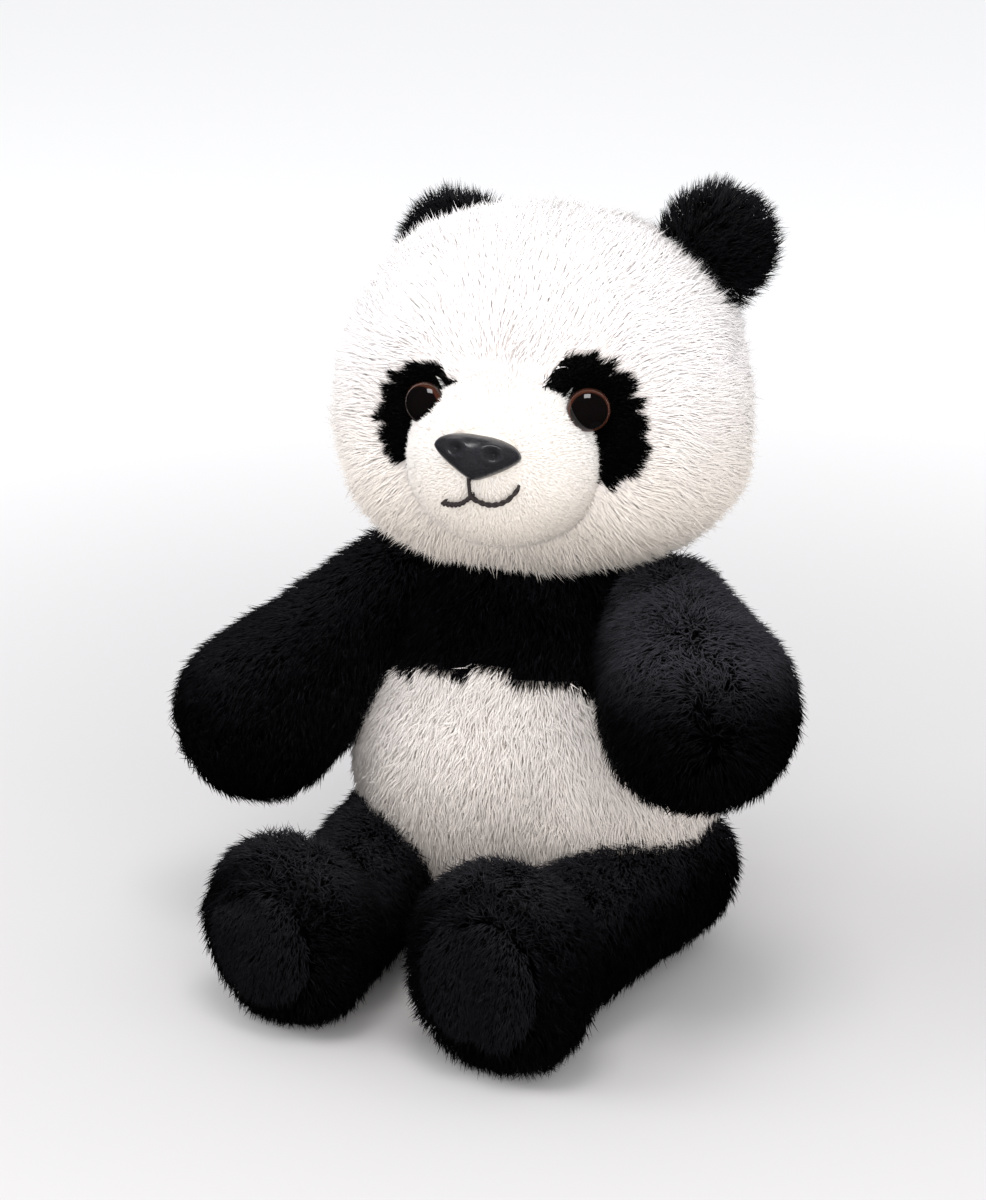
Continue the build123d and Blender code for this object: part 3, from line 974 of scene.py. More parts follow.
@dataclass
class Head:
    """The head: white pile panels, muzzle, eye patches, ears, moulded eyes and nose, and stitched mouth."""

    radii: Vector = Vector((70 * MM, 60 * MM, 61 * MM))
    turn_degrees: float = 7.0
    power: float = 2.25
    low_power: float = 3.3
    crown: float = 0.06
    jowl: float = 0.075
    skin_inset: float = 4.6 * MM
    muzzle_place: Vector = Vector((0, -46 * MM, -13 * MM))
    muzzle_radii: Vector = Vector((33 * MM, 29.5 * MM, 30 * MM))
    muzzle_inset: float = 2.0 * MM
    ear_seam_y: float = 14 * MM
    crown_seam_z: float = 20 * MM
    eye_radius: float = 7.0 * MM
    eye_height: float = 5.0 * MM
    eyes: tuple[EyeSide, ...] = (
        EyeSide(1, "left", (29.0 * MM, 5.7 * MM), (28.6 * MM, 1.4 * MM), (14.0 * MM, 21.5 * MM), 21.0),
        EyeSide(-1, "right", (24.3 * MM, 4.9 * MM), (26.2 * MM, 0.2 * MM), (13.8 * MM, 17.6 * MM), 12.0),
    )
    ear_radii: Vector = Vector((14.0 * MM, 5.5 * MM, 15.0 * MM))
    ear_left: Vector = Vector((54.5 * MM, 16 * MM, 46 * MM))
    ear_right: Vector = Vector((-36 * MM, 28 * MM, 38.5 * MM))
    nose_place: tuple[float, float] = (-2.0 * MM, 8.0 * MM)
    nose_radii: Vector = Vector((14.0 * MM, 6.5 * MM, 8.0 * MM))
    nose_roll_degrees: float = 6.0

    def __post_init__(self) -> None:
        """Place the forms about the head's own centre."""
        self.centre = joint_place("head_nod")
        self.turn = Matrix.Rotation(math.radians(self.turn_degrees), 3, "Z")
        self.form = Pebble(
            self.centre, self.radii, self.turn, self.power, self.low_power, self.crown, self.jowl
        )
        self.muzzle = Pebble(self.at(self.muzzle_place), self.muzzle_radii, self.turn, 2.1)

    def at(self, place: Vector) -> Vector:
        """A place given about the head's centre, in the toy's frame."""
        return self.centre + self.turn @ place

    def way(self, direction: Vector) -> Vector:
        """A direction of the head, in the toy's frame."""
        return self.turn @ direction

    def in_patch(self, places: Points) -> Points:
        """Above 0 inside either eye patch, growing to its middle."""
        local = self.form.local(places)
        best = np.full(len(places), -9.0)
        for eye in self.eyes:
            x = local[:, 0] * eye.side - eye.patch[0]
            z = local[:, 2] - eye.patch[1]
            tilt = math.radians(eye.tilt_degrees)
            across = x * math.cos(tilt) + z * math.sin(tilt)
            along = -x * math.sin(tilt) + z * math.cos(tilt)
            best = np.maximum(best, 1 - np.hypot(across / eye.patch_radii[0], along / eye.patch_radii[1]))
        return np.where(local[:, 1] < 0, best, -9.0)

    def face_flow(self, places: Points) -> Points:
        """The face's pile lies away from the nose, and hangs a little."""
        away = unit(self.form.local(places) - np.array([0, -66, -10]) * MM)
        return away @ np.array(self.turn).T + np.array([0, 0, -0.25])

    def cream_and_low_shade(self, places: Points) -> Points:
        """Cool on the crown, warm under the cheeks: partly the pile's cream tone and partly painted shade low down.
        """
        z = self.form.local(places)[:, 2]
        return 0.85 - 0.8 * smooth_step(z, -45 * MM, 25 * MM)

    def face_trim(self, places: Points) -> Points:
        """Shorter pile beside the eye patches and the muzzle."""
        near_patch = smooth_step(self.in_patch(places), -0.45, 0.0)
        near_muzzle = smooth_step(self.muzzle.depth(places), -9 * MM, 0.0)
        return 1 - 0.5 * np.maximum(near_patch, near_muzzle)

    def relief(self) -> list[Crease]:
        """The valleys from the muzzle's top up between the brows, and the full brows and cheeks beside them."""
        marks = []
        for side in (1, -1):
            valley = [(2, 18), (11, 27), (16, 40)]
            marks.append(Crease(self.on_skin(side, valley), 2.0 * MM, 6 * MM))
            brow = [(24, 33), (34, 27)]
            marks.append(Crease(self.on_skin(side, brow), -2.4 * MM, 11 * MM))
            cheek = [(44, -14), (36, -30)]
            marks.append(Crease(self.on_skin(side, cheek), -1.8 * MM, 12 * MM))
        return marks

    def on_skin(self, side: int, places_mm: Sequence[tuple[float, float]]) -> list[Vector]:
        """Points on the face's cloth, from places sideways and up in millimetres."""
        return [self.form.surface(side * x * MM, z * MM, -self.skin_inset) for x, z in places_mm]

    def build(self) -> None:
        """Make every piece of the head."""
        skin = self.form.shell(self.skin_inset)
        soften(skin, 30 * MM, 0.7 * MM)
        sink(skin, self.relief())
        stuffing = self.form.shell(self.skin_inset + 1.4 * MM)
        self.make_shell(skin)
        self.make_muzzle()
        filling("head_fibre", "head_stuffing", "head", stuffing)
        for eye in self.eyes:
            self.make_patch(skin, eye)
            self.make_eye(eye)
            self.make_ear(eye.side, eye.name)
        skin.free()
        self.make_nose()
        self.make_mouth()

    def make_shell(self, skin: bmesh.types.BMesh) -> None:
        """The white panels of face and back."""
        front = (self.at(Vector((0, self.ear_seam_y, 0))), self.way(Vector((0, -1, 0))))
        rear = (front[0], -front[1])
        above = (self.at(Vector((0, 0, self.crown_seam_z))), self.way(Vector((0, 0, 1))))
        below = (above[0], -above[1])
        left = (self.centre, self.way(Vector((1, 0, 0))))
        right = (self.centre, -left[1])
        neck = RoundCone(self.centre - UP * 90 * MM, self.centre - UP * 60 * MM, 30 * MM, 30 * MM)

        def open_face(places: Points) -> Points:
            """Places of the face that are neither patch nor muzzle."""
            return np.where((self.in_patch(places) > 0) | (self.muzzle.depth(places) > 7 * MM), -1.0, 1.0)

        def covered(places: Points) -> Points:
            """Places where pile would be inside the muzzle or the neck."""
            deep = np.maximum(self.muzzle.depth(places) - 2.5 * MM, neck.depth(places))
            return np.maximum(deep, self.in_patch(places) * MM)

        plan = [
            ("forehead", "forehead_panel", [front, above]),
            ("cheek_left", "cheek_left_panel", [front, below, left]),
            ("cheek_right", "cheek_right_panel", [front, below, right]),
            ("head_back_left", "head_back_left_panel", [rear, left]),
            ("head_back_right", "head_back_right_panel", [rear, right]),
        ]
        for seed, (name, node, seams) in enumerate(plan, 11):
            pile = NAPE_PILE if "back" in name else LONG_PILE
            Panel(
                name, node, "head", "white_long_plush", WHITE, pile, self.face_flow, self.cream_and_low_shade,
                seams, open_face, self.face_trim, covered,
            ).make(skin, seed)

    def make_patch(self, skin: bmesh.types.BMesh, spot: EyeSide) -> None:
        """The black patch round one eye."""
        half = (self.centre, self.way(Vector((spot.side, 0, 0))))
        eye = self.at_eye(spot)

        def covered(places: Points) -> Points:
            """Places where pile would be inside the muzzle or under the eye."""
            under = self.eye_radius * 0.93 - np.linalg.norm(places - np.array(eye), axis=1)
            return np.maximum(self.muzzle.depth(places) - 2 * MM, under)

        def trim(places: Points) -> Points:
            """Shorter pile against the eye, so that the dome stands clear."""
            gap = np.linalg.norm(places - np.array(eye), axis=1) - self.eye_radius
            return 0.35 + 0.65 * smooth_step(gap, 0.0, 7 * MM)

        Panel(
            f"patch_{spot.name}", f"eye_patch_{spot.name}", "head", "black_short_plush", BLACK_SHORT, PATCH_PILE,
            self.face_flow, lambda places: np.full(len(places), 0.5), [half], self.in_patch, trim, covered,
        ).make(skin, 31 + spot.side)

    def make_muzzle(self) -> None:
        """The short-piled muzzle and the fibre in it."""
        skin = self.muzzle.shell(self.muzzle_inset)
        soften(skin, 16 * MM, 0.4 * MM)

        def flow(places: Points) -> Points:
            """Short pile that lies up and back from the nose."""
            away = unit(self.form.local(places) - np.array([0, -76, -8]) * MM)
            return away @ np.array(self.turn).T

        def shade(places: Points) -> Points:
            """Warmer low down: partly the pile's cream tone and partly painted shade."""
            return 0.75 - 0.7 * smooth_step(self.muzzle.local(places)[:, 2], -22 * MM, 16 * MM)

        def outside(places: Points) -> Points:
            """Places not deep in the head."""
            return np.where(self.form.depth(places) > 8 * MM, -1.0, 1.0)

        def hidden(places: Points) -> Points:
            """Places under the head's own pile or the nose."""
            nose = Pebble(self.at_nose(), self.nose_radii * 0.9, self.turn, 2.0)
            return np.maximum(self.form.depth(places) - 5.5 * MM, nose.depth(places))

        Panel(
            "muzzle", "muzzle_panel", "head", "cream_short_plush", CREAM, MUZZLE_PILE, flow, shade,
            keep=outside, bare=hidden,
        ).make(skin, 21)
        skin.free()
        filling("muzzle_fibre", "muzzle_stuffing", "head", self.muzzle.shell(self.muzzle_inset + 1.4 * MM))

    def at_eye(self, spot: EyeSide) -> Vector:
        """The middle of an eye's base."""
        return self.form.surface(spot.side * spot.eye[0], spot.eye[1], -1.2 * MM)

    def at_nose(self) -> Vector:
        """The middle of the nose's back."""
        return self.muzzle.surface(*self.nose_place, -0.6 * MM)

    def make_eye(self, spot: EyeSide) -> None:
        """One domed eye on a short rim."""
        bm = bmesh.new()
        bmesh.ops.create_uvsphere(bm, u_segments=48, v_segments=32, radius=1.0)
        points = coordinates(bm)
        upper = points[:, 2] > 0
        across = np.hypot(points[:, 0], points[:, 1])
        points[:, :2] *= self.eye_radius
        points[:, 2] = np.where(upper, points[:, 2] * self.eye_height, points[:, 2] * 2.5 * MM)
        local = self.form.local(np.array([self.form.surface(spot.side * spot.eye[0], spot.eye[1])]))[0]
        outward = self.form.outward(Vector(local))
        place = Matrix.Translation(self.at_eye(spot)) @ outward.to_track_quat("Z", "Y").to_matrix().to_4x4()
        move_to(bm, points)
        bmesh.ops.transform(bm, matrix=place, verts=bm.verts)
        radius = np.where(upper, across, 1.0)
        dome = bm_object(f"eye_{spot.name}_dome", bm, EYE.material())
        attribute = dome.data.attributes.new("across", "FLOAT", "POINT")
        attribute.data.foreach_set("value", radius.astype(np.float32))
        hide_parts(f"eye_{spot.name}")
        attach(dome, "head")
        log.info("%s: %d faces", dome.name, len(dome.data.polygons))

    def make_ear(self, side: int, name: str) -> None:
        """One soft ear with long pile."""
        lean = Matrix.Rotation(math.radians(40 * side), 3, "Y")
        centre = self.at(self.ear_left if side > 0 else self.ear_right)
        skin = Pebble(centre, self.ear_radii, self.turn @ lean, 2.2, fineness=4).shell(0)
        out = (centre - self.centre).normalized()

        def flow(places: Points) -> Points:
            """Pile that lies out from the head and hangs a little."""
            return unit(places - np.array(centre - out * 16 * MM)) + np.array(out) * 0.5 - np.array([0, 0, 0.2])

        def outside(places: Points) -> Points:
            """Places not deep in the head."""
            return np.where(self.form.depth(places) > 10 * MM, -1.0, 1.0)

        Panel(
            f"ear_{name}_cover", f"ear_{name}", "head", "black_long_plush", BLACK, EAR_PILE, flow,
            lambda places: np.full(len(places), 0.93), keep=outside,
            bare=lambda places: self.form.depth(places) - 6 * MM,
        ).make(skin, 41 + side)
        skin.free()

    def make_nose(self) -> None:
        """The moulded nose: wide above, pointed below, with two raised nostrils."""
        bm = bmesh.new()
        bmesh.ops.create_uvsphere(bm, u_segments=96, v_segments=64, radius=1.0)
        points = coordinates(bm)
        low = np.clip(-points[:, 2], 0, 1)
        points[:, 0] *= 1 - 0.58 * low**1.3
        points[:, 2] = np.where(points[:, 2] > 0, points[:, 2] * 0.72, points[:, 2] * 1.12)
        points[:, 2] -= 0.10 * (1 - np.abs(points[:, 0])) * np.clip(points[:, 2], 0, 1)
        for side in (1, -1):
            away = np.hypot(points[:, 0] - side * 0.42, (points[:, 2] - 0.02) * 0.75)
            front = smooth_step(-points[:, 1], 0.0, 0.4)
            points[:, 1] += front * (0.42 * np.exp(-((away / 0.13) ** 2)) - 0.10 * np.exp(-(((away - 0.24) / 0.08) ** 2)))
        points *= np.array(self.nose_radii)
        tip_up = Matrix.Rotation(math.radians(-14), 3, "X")
        roll = Matrix.Rotation(math.radians(self.nose_roll_degrees), 3, "Y")
        turn = np.array(self.turn @ roll @ tip_up)
        move_to(bm, points @ turn.T + np.array(self.at_nose()))
        nose = bm_object("nose_moulding", bm, NOSE.material())
        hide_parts("nose")
        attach(nose, "head")
        log.info("%s: %d faces", nose.name, len(nose.data.polygons))

    def make_mouth(self) -> None:
        """Three stitches of two-ply floss that lie on the muzzle."""
        curve = bpy.data.curves.new("mouth_stitches", "CURVE")
        curve.dimensions = "3D"
        curve.bevel_depth = 0.50 * MM
        curve.bevel_resolution = 3
        curve.use_fill_caps = True
        runs = [
            [(-4.2, -0.5), (-4.0, -3.5), (-3.7, -6.7)],
            [(-3.8, -6.3), (-7.0, -8.8), (-10.4, -9.6), (-13.5, -9.6)],
            [(-3.6, -6.3), (0.0, -8.0), (3.8, -8.3), (7.8, -6.6), (11.2, -2.8)],
        ]
        for run in runs:
            for ply in (0.0, math.pi):
                self.add_ply(curve, run, ply)
        holder = bpy.data.objects.new("mouth_stitches", curve)
        bpy.context.scene.collection.objects.link(holder)
        solid = bpy.data.meshes.new_from_object(holder.evaluated_get(bpy.context.evaluated_depsgraph_get()))
        bpy.data.objects.remove(holder)
        solid.materials.clear()
        solid.materials.append(FLOSS.material())
        mouth = bpy.data.objects.new("mouth_embroidery", solid)
        bpy.context.scene.collection.objects.link(mouth)
        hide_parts("mouth_thread")
        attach(mouth, "head")
        log.info("%s: %d faces", mouth.name, len(solid.polygons))

    def add_ply(self, curve: bpy.types.Curve, run: Sequence[tuple[float, float]], ply: float) -> None:
        """One ply of a stitch, wound about the stitch's line.

        Args:
            curve: the curve that gets the ply.
            run: places on the muzzle in millimetres, sideways and up.
            ply: where round the line the ply starts, in radians.
        """
        ends = ("x", "z")
        steps = 44
        line = []
        for k in range(steps):
            t = k / (steps - 1) * (len(run) - 1)
            i = min(int(t), len(run) - 2)
            before, after = run[max(i - 1, 0)], run[min(i + 2, len(run) - 1)]
            place = [
                catmull(before[a], run[i][a], run[i + 1][a], after[a], t - i) for a in range(len(ends))
            ]
            turn = ply + k * 0.55
            wind = 0.42 * MM
            end_dip = -2.2 * MM if k in (0, steps - 1) else 0.0
            lift = 0.9 * MM + wind * math.sin(turn) + end_dip
            line.append(self.muzzle.surface(place[0] * MM, place[1] * MM + wind * math.cos(turn), lift))
        spline = curve.splines.new("POLY")
        spline.points.add(len(line) - 1)
        for point, place in zip(spline.points, line):
            point.co = (*place, 1)


def catmull(a: float, b: float, c: float, d: float, t: float) -> float:
    """A smooth value between b and c, with a and d as their neighbours."""
    return 0.5 * (2 * b + (c - a) * t + (2 * a - 5 * b + 4 * c - d) * t**2 + (3 * b - a - 3 * c + d) * t**3)


@dataclass
class Limb:
    """A stuffed arm or leg: its forms, its pile and the panels that make it."""

    name: str
    body: str
    root: Vector
    end: Vector
    root_radius: float
    end_radius: float
    skin_inset: float = 4.2 * MM
    seed: int = 0
    # How much painted sheen the limb's pile gets where it faces up.
    painted_top_sheen: float = 0.45

    def __post_init__(self) -> None:
        """Place the limb's form."""
        self.form = RoundCone(self.root, self.end, self.root_radius, self.end_radius, steps=72)

    @property
    def upper(self) -> Vector:
        """The limb's upper side, square to its length."""
        along = (self.end - self.root).normalized()
        across = along.cross(UP).normalized()
        return across.cross(along)

    def flow(self, places: Points) -> Points:
        """Pile that lies down the limb and hangs."""
        along = np.array((self.end - self.root).normalized())
        axis = places - np.array(self.root)
        beyond = smooth_step(axis @ along / (self.end - self.root).length, 0.8, 1.4)[:, None]
        outward = unit(axis - (axis @ along)[:, None] * along)
        return along * (1 - beyond) * 0.7 + outward * beyond * 0.8 + np.array([0, 0, -0.7])

    def sheen(self, places: Points) -> Points:
        """Where the pile is cooler and lighter."""
        return 0.93 + 0.10 * noise_height(places, 18 * MM)


@dataclass
class Arm(Limb):
    """One arm with its upper and under panels."""

    def build(self, torso: Form) -> None:
        """Make the arm's panels and stuffing.

        Args:
            torso: the torso's form, which hides the arm's root.
        """
        skin = self.form.shell(self.skin_inset)
        soften(skin, 24 * MM, 0.8 * MM)
        # Both panels carry the limb's painted sheen on pile that faces up.
        for k, (half, sign) in enumerate((("upper", 1), ("under", -1))):
            Panel(
                f"{self.name}_{half}_cover", f"{self.name}_{half}", self.body, "black_long_plush", BLACK,
                replace(LIMB_PILE if sign > 0 else UNDER_PILE, painted_top_sheen=self.painted_top_sheen), self.flow, self.sheen,
                [(self.root, self.upper * sign)],
                bare=lambda places: torso.depth(places) - 7 * MM,
            ).make(skin, self.seed + k)
        skin.free()
        stuffing = self.form.shell(self.skin_inset + 1.4 * MM)
        filling(f"{self.name}_fibre", f"{self.name}_stuffing", self.body, stuffing)


@dataclass
class Leg(Limb):
    """One leg with an upright oval foot, its upper and under panels and its sole."""

    foot: Vector = Vector((0, 0, 0))
    foot_radii: Vector = Vector((31 * MM, 23 * MM, 36 * MM))
    foot_turn_degrees: float = -8.0
    sole_inset: float = 9 * MM
    folds: Sequence[Sequence[tuple[float, float]]] = ()

    def sole_seam(self, foot: Pebble) -> list[Vector]:
        """The seam round the sole, on the foot's cloth."""
        y = -(foot.radii.y - self.sole_inset)
        share = (1 - (abs(y) / foot.radii.y) ** foot.power) ** (1 / foot.power)
        wide, high = (foot.radii.x - self.skin_inset) * share, (foot.radii.z - self.skin_inset) * share
        turns = np.linspace(0, 2 * math.pi, 25)
        ring = [Vector((wide * math.cos(a), y, high * math.sin(a))) for a in turns]
        return [foot.centre + foot.turn @ place for place in ring]

    def build(self, torso: Form) -> None:
        """Make the leg's panels, sole and stuffing.

        Args:
            torso: the torso's form, which hides the leg's root.
        """
        turn = Matrix.Rotation(math.radians(self.foot_turn_degrees), 3, "Z")
        foot = Pebble(self.foot, self.foot_radii, turn, 2.25, fineness=4)
        skin = joined_shell([self.form, foot], self.skin_inset, 2.2 * MM)
        soften(skin, 24 * MM, 1.0 * MM)
        sink(skin, [Crease(self.sole_seam(foot), 2.2 * MM, 3.5 * MM)])
        sink(skin, [Crease([foot.surface(x * MM, z * MM) for x, z in fold], 3.0 * MM, 6 * MM) for fold in self.folds])
        front = turn @ Vector((0, -1, 0))
        seam_place = self.foot + front * (self.foot_radii.y - self.sole_inset)
        sides = {"upper": self.upper, "under": -self.upper}
        name = self.name

        def hidden(places: Points) -> Points:
            """Places deep in the torso."""
            return torso.depth(places) - 7 * MM

        # Both panels carry the limb's painted sheen on pile that faces up.
        for k, (half, way) in enumerate(sides.items()):
            pile = replace(LIMB_PILE if half == "upper" else UNDER_PILE, painted_top_sheen=self.painted_top_sheen)
            Panel(
                f"{name}_{half}_cover", f"{name}_{half}", self.body, "black_long_plush", BLACK, pile,
                self.flow, self.sheen, [(self.root, way), (seam_place, -front)], bare=hidden,
            ).make(skin, self.seed + k)
        Panel(
            f"{name.replace('leg', 'foot')}_sole_cover", f"{name.replace('leg', 'foot')}_sole", self.body,
            "black_long_plush", BLACK, SOLE_PILE, lambda places: np.tile([0, 0, -1.0], (len(places), 1)),
            # The sole's pile is drawn further towards the black pile's paler cool colour: more painted sheen.
            lambda places: self.sheen(places) - 0.20, [(seam_place, front)],
        ).make(skin, self.seed + 2)
        skin.free()
        stuffing = joined_shell([self.form, foot], self.skin_inset + 1.6 * MM, 3.2 * MM)
        filling(f"{name}_fibre", f"{name}_stuffing", self.body, stuffing)


@dataclass
class Torso:
    """The body: a dark yoke over the chest and shoulders, and pale belly, back and base panels."""

    seat: Vector = Vector((0, 4 * MM, 62 * MM))
    seat_radius: float = 67 * MM
    chest_z: float = 112 * MM
    chest_radius: float = 47 * MM
    flatten: float = 0.83
    skin_inset: float = 4.2 * MM
    band_front: Vector = Vector((0, -38 * MM, 106.5 * MM))
    band_side: Vector = Vector((50 * MM, -14 * MM, 95.5 * MM))
    side_seam_y: float = 4 * MM
    base_z: float = 9 * MM

    def __post_init__(self) -> None:
        """Place the torso's form."""
        chest = Vector((0, self.seat.y, self.chest_z))
        self.form = RoundCone(self.seat, chest, self.seat_radius, self.chest_radius, self.flatten, 96)

    def build(self, head: Head, limbs: Sequence[Limb]) -> None:
        """Make the torso's panels and stuffing.

        Args:
            head: the head, which covers the neck.
            limbs: the arms and legs, which sit in the torso.
        """
        skin = self.form.shell(self.skin_inset)
        stuffing = self.form.shell(self.skin_inset + 1.6 * MM)
        middle = Vector((0, self.seat.y, 70 * MM))
        for bm, gap in ((skin, -6.5 * MM), (stuffing, -4.0 * MM)):
            dent(bm, head.form, Vector((0, self.seat.y, 60 * MM)), gap)
            for limb in limbs:
                ball = RoundCone(limb.root, limb.root + (limb.end - limb.root) * 0.3, limb.root_radius,
                                 limb.root_radius)
                dent(bm, ball, middle, gap)
        soften(skin, 30 * MM, 0.8 * MM)
        valley = [self.front(14, 40), self.front(18, 62), self.front(15, 78)]
        sink(skin, [Crease(valley, 2.4 * MM, 6 * MM)])
        front = (Vector((0, self.side_seam_y, 0)), Vector((0, -1, 0)))
        rear = (front[0], -front[1])
        above = (Vector((0, 0, self.band_front.z)), UP)
        base = (Vector((0, 0, self.base_z)), UP)

        def band(places: Points) -> Points:
            """Above 0 over the curved seam between yoke and belly."""
            out = np.clip(np.abs(places[:, 0]) / self.band_side.x, 0, 1.3)
            return places[:, 2] - (self.band_front.z - (self.band_front.z - self.band_side.z) * out**2)

        def hidden(places: Points) -> Points:
            """Places deep in the head or a limb's root."""
            deep = head.form.depth(places) - 7 * MM
            for limb in limbs:
                ball = RoundCone(limb.root, limb.root + UP * MM, limb.root_radius, limb.root_radius)
                deep = np.maximum(deep, ball.depth(places) - 5 * MM)
            return deep

        def hang(places: Points) -> Points:
            """Pile that lies down the body and a little outwards."""
            out = unit(places - np.array(self.seat))
            return out * 0.3 + np.array([0, 0, -1.0])

        def pale(places: Points) -> Points:
            """Warmer low down: partly the pale pile's cream tone and partly painted shade."""
            return 0.9 - 0.7 * smooth_step(places[:, 2], 30 * MM, 100 * MM)

        dark = dict(body="torso", slot="black_long_plush", finish=BLACK, pile=CHEST_PILE, flow=hang)
        light = dict(body="torso", slot="belly_plush", finish=BELLY, flow=hang, shade=pale)
        shade = self.sheen
        Panel("chest_cover", "chest_panel", shade=shade, seams=[front], keep=band, bare=hidden, **dark).make(skin, 61)
        Panel("shoulder_cover", "shoulder_panel", shade=shade, seams=[rear], keep=band, bare=hidden, **dark).make(
            skin, 62)

        def under_band(places: Points) -> Points:
            """Above 0 below the curved seam."""
            return -band(places)

        Panel("belly_cover", "belly_panel", pile=BELLY_PILE, seams=[front, base], keep=under_band, bare=hidden,
              **light).make(skin, 63)
        Panel("back_cover", "back_panel", pile=BACK_PILE, seams=[rear, base], keep=under_band, bare=hidden,
              **light).make(skin, 64)
        Panel("base_cover", "base_panel", pile=BACK_PILE, seams=[(base[0], -UP)], bare=hidden, **light).make(skin, 65)
        skin.free()
        filling("torso_fibre", "torso_stuffing", "torso", stuffing)

    def front(self, x_mm: float, z_mm: float) -> Vector:
        """A point on the front of the torso's skin."""
        y = self.seat.y
        while self.form.depth(np.array([[x_mm * MM, y, z_mm * MM]]))[0] > self.skin_inset:
            y -= 0.5 * MM
        return Vector((x_mm * MM, y, z_mm * MM))

    def sheen(self, places: Points) -> Points:
        """Where the dark pile is cooler."""
        return 0.93 + 0.10 * noise_height(places, 20 * MM)


def limbs_of_panda() -> list[Limb]:
    """Both arms and both legs, each rooted at its joint in the frame.

    Returns:
        The four limbs.
    """
    # The left arm's pile gets far more painted sheen where it faces up than the right arm's; the legs keep the limb's
    # own amount.
    left_arm = Arm(
        "arm_left", "arm_left", joint_place("arm_left_swing"), Vector((80, -64, 112)) * MM, 22 * MM, 32 * MM, seed=81,
        painted_top_sheen=1.5,
    )
    right_arm = Arm(
        "arm_right", "arm_right", joint_place("arm_right_swing"), Vector((-89, -32, 79)) * MM, 22 * MM, 30.5 * MM,
        seed=61, painted_top_sheen=0.25,
    )
    left_leg = Leg(
        "leg_left", "leg_left", joint_place("leg_left_swing"), Vector((33, -88, 26)) * MM, 25.5 * MM, 22.5 * MM,
        seed=111, foot=Vector((31, -105.5, 34.2)) * MM, foot_radii=Vector((31.5, 23.0, 34.6)) * MM,
        foot_turn_degrees=-8.0, folds=[[(-4, 18), (0, 0), (-2, -20)]],
    )
    right_leg = Leg(
        "leg_right", "leg_right", joint_place("leg_right_swing"), Vector((-40, -84, 26)) * MM, 25.5 * MM, 22.5 * MM,
        seed=91, foot=Vector((-47, -98, 31.2)) * MM, foot_radii=Vector((32.0, 22.5, 31.6)) * MM,
        foot_turn_degrees=-16.0, folds=[[(-26, 12), (-14, 15), (-2, 16)]],
    )
    return [left_arm, right_arm, left_leg, right_leg]


# ------------------------------------------------------------------------------------------------
# Frame nodes that stay, and the studio
# ------------------------------------------------------------------------------------------------
def dress_frame() -> None:
    """Give each inner node of the frame that stays its own finish."""
    finishes = {
        "eye_lock_washers": WASHER, "nose_lock_washer": WASHER, "neck_stuffing": FIBRE,
        "pellet_bag": BAG, "seat_pellets": PELLET,
    }
    for name, finish in finishes.items():
        node = frame["nodes"][name]
        node.data.materials.clear()
        node.data.materials.append(finish.material())
        log.info("%s: finished as %s", name, finish.name)


@dataclass(frozen=True)
class Lamp:
    """A square soft light."""

    name: str
    place: Vector
    aim: Vector
    size: float
    power: float
    colour: Colour
    mirrored: bool = True

    def build(self) -> None:
        """Hang the light and point it; a light that isn't mirrored makes no highlights."""
        data = bpy.data.lights.new(self.name, "AREA")
        data.size = self.size
        data.energy = self.power
        data.color = self.colour
        lamp = bpy.data.objects.new(self.name, data)
        lamp.location = self.place
        lamp.rotation_euler = (self.aim - self.place).to_track_quat("-Z", "Y").to_euler()
        lamp.visible_glossy = self.mirrored
        bpy.context.scene.collection.objects.link(lamp)


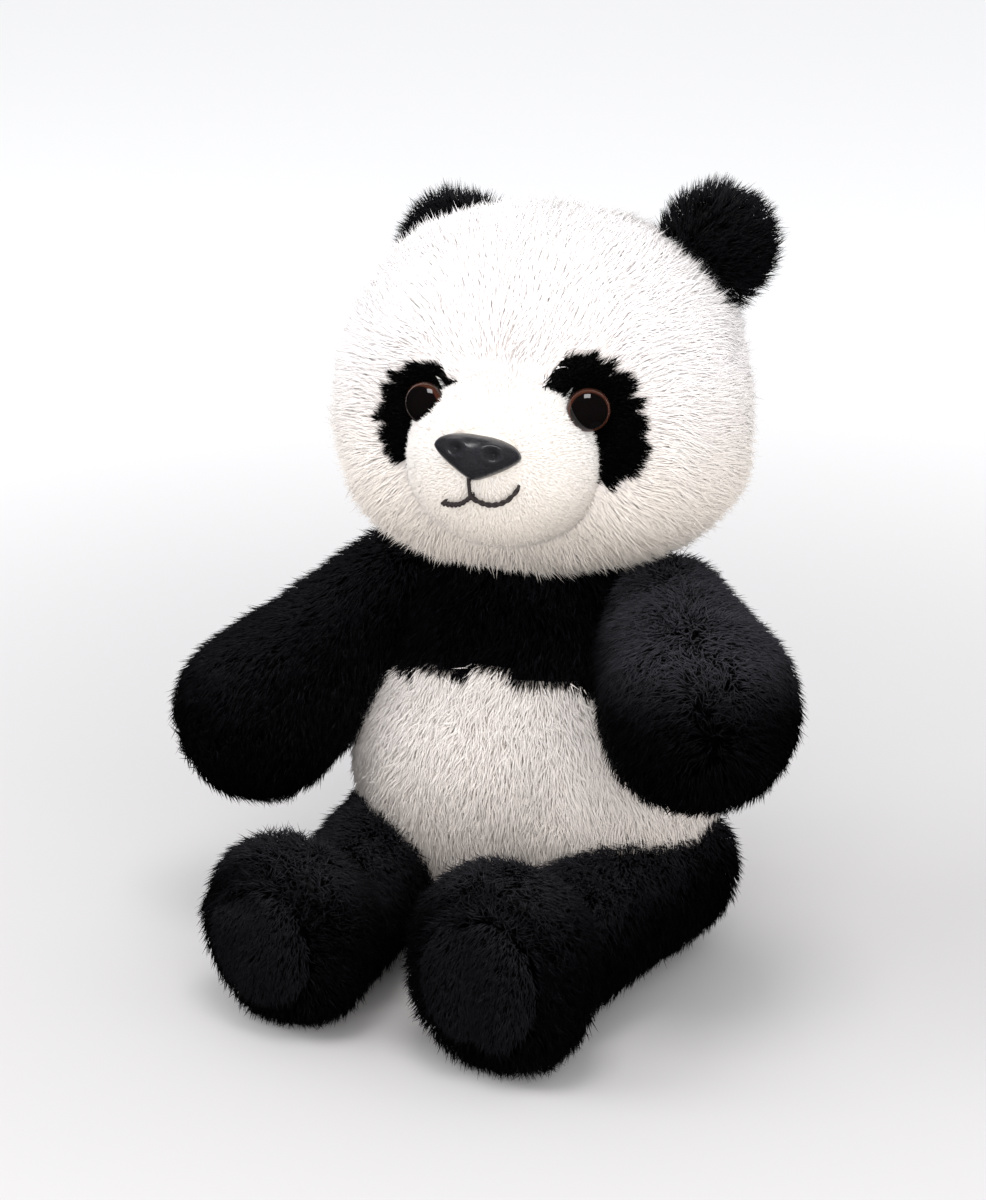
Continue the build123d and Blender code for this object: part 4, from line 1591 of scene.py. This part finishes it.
@dataclass
class Studio:
    """A pale floor, soft lights and the camera."""

    azimuth_degrees: float = 22.0
    elevation_degrees: float = 17.0
    distance: float = 0.950
    lens_mm: float = 85.0
    target: Vector = Vector((-6.6 * MM, -21 * MM, 126 * MM))
    floor_size: float = 14.0
    # The floor's two colours are painted light: the near one darker to offset the lamps' pool of light by the toy,
    # the far one lighter where only the sky lights the floor.
    near_floor_painted_shade: Colour = (0.605, 0.596, 0.598)
    far_floor_painted_light: Colour = (0.975, 0.975, 0.975)
    sky_strength: float = 1.0
    lamps: tuple[Lamp, ...] = (
        Lamp("octabox", Vector((0.10, -0.30, 0.80)), Vector((0, -0.03, 0.16)), 0.28, 2.0, (1.0, 0.985, 0.975)),
        Lamp("window", Vector((-1.5, -0.9, 1.5)), Vector((0, 0, 0.12)), 1.2, 14.0, (0.97, 0.98, 1.0), False),
        Lamp("front", Vector((0.95, -1.75, 0.60)), Vector((0, 0, 0.12)), 1.6, 29.0, (1.0, 0.985, 0.97), False),
    )

    def build(self) -> None:
        """Make the floor, the lights and the camera."""
        self.make_floor()
        for lamp in self.lamps:
            lamp.build()
        world = bpy.data.worlds.new("studio")
        world.use_nodes = True
        sky = world.node_tree.nodes["Background"]
        sky.inputs["Color"].default_value = (0.93, 0.935, 0.95, 1)
        sky.inputs["Strength"].default_value = self.sky_strength
        bpy.context.scene.world = world
        world.cycles_visibility.glossy = False
        self.make_camera()
        bpy.context.scene.view_settings.view_transform = "Standard"

    def make_floor(self) -> None:
        """A wide pale floor that grows lighter far from the toy: its colour is painted light, darker near the toy to
        offset the lamps' pool of light there and lighter far off, where only the sky lights it.
        """
        bm = bmesh.new()
        bmesh.ops.create_grid(bm, x_segments=8, y_segments=8, size=self.floor_size / 2)
        material, shader = new_material("floor_paper", 0.95)
        shader.inputs["Specular IOR Level"].default_value = 0.05
        nodes, links = material.node_tree.nodes, material.node_tree.links
        place = nodes.new("ShaderNodeTexCoord")
        reach = nodes.new("ShaderNodeVectorMath")
        reach.operation = "LENGTH"
        links.new(place.outputs["Object"], reach.inputs[0])
        fade = nodes.new("ShaderNodeMapRange")
        fade.interpolation_type = "SMOOTHSTEP"
        fade.inputs["From Min"].default_value = 0.15
        fade.inputs["From Max"].default_value = 1.1
        links.new(reach.outputs["Value"], fade.inputs["Value"])
        tone = nodes.new("ShaderNodeMix")
        tone.data_type = "RGBA"
        tone.inputs["A"].default_value = (*self.near_floor_painted_shade, 1)
        tone.inputs["B"].default_value = (*self.far_floor_painted_light, 1)
        links.new(fade.outputs["Result"], tone.inputs["Factor"])
        links.new(tone.outputs["Result"], shader.inputs["Base Color"])
        floor = bm_object("studio_floor", bm, material)
        floor.visible_glossy = False

    def make_camera(self) -> None:
        """The camera at the view's own angle."""
        a, e = math.radians(self.azimuth_degrees), math.radians(self.elevation_degrees)
        back = Vector((math.sin(a) * math.cos(e), -math.cos(a) * math.cos(e), math.sin(e)))
        data = bpy.data.cameras.new("camera")
        data.lens = self.lens_mm
        data.clip_start = 0.05
        camera = bpy.data.objects.new("camera", data)
        camera.location = self.target + back * self.distance
        camera.rotation_euler = back.to_track_quat("Z", "Y").to_euler()
        bpy.context.scene.collection.objects.link(camera)
        bpy.context.scene.camera = camera


def main() -> None:
    """Build the panda, dress the frame and set the studio."""
    logging.basicConfig(level=logging.INFO, format="%(message)s")
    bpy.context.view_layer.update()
    head = Head()
    torso = Torso()
    limbs = limbs_of_panda()
    head.build()
    for limb in limbs:
        limb.build(torso.form)
    torso.build(head, limbs)
    dress_frame()
    Studio().build()
    bpy.context.view_layer.update()


if __name__ == "__main__":
    main()
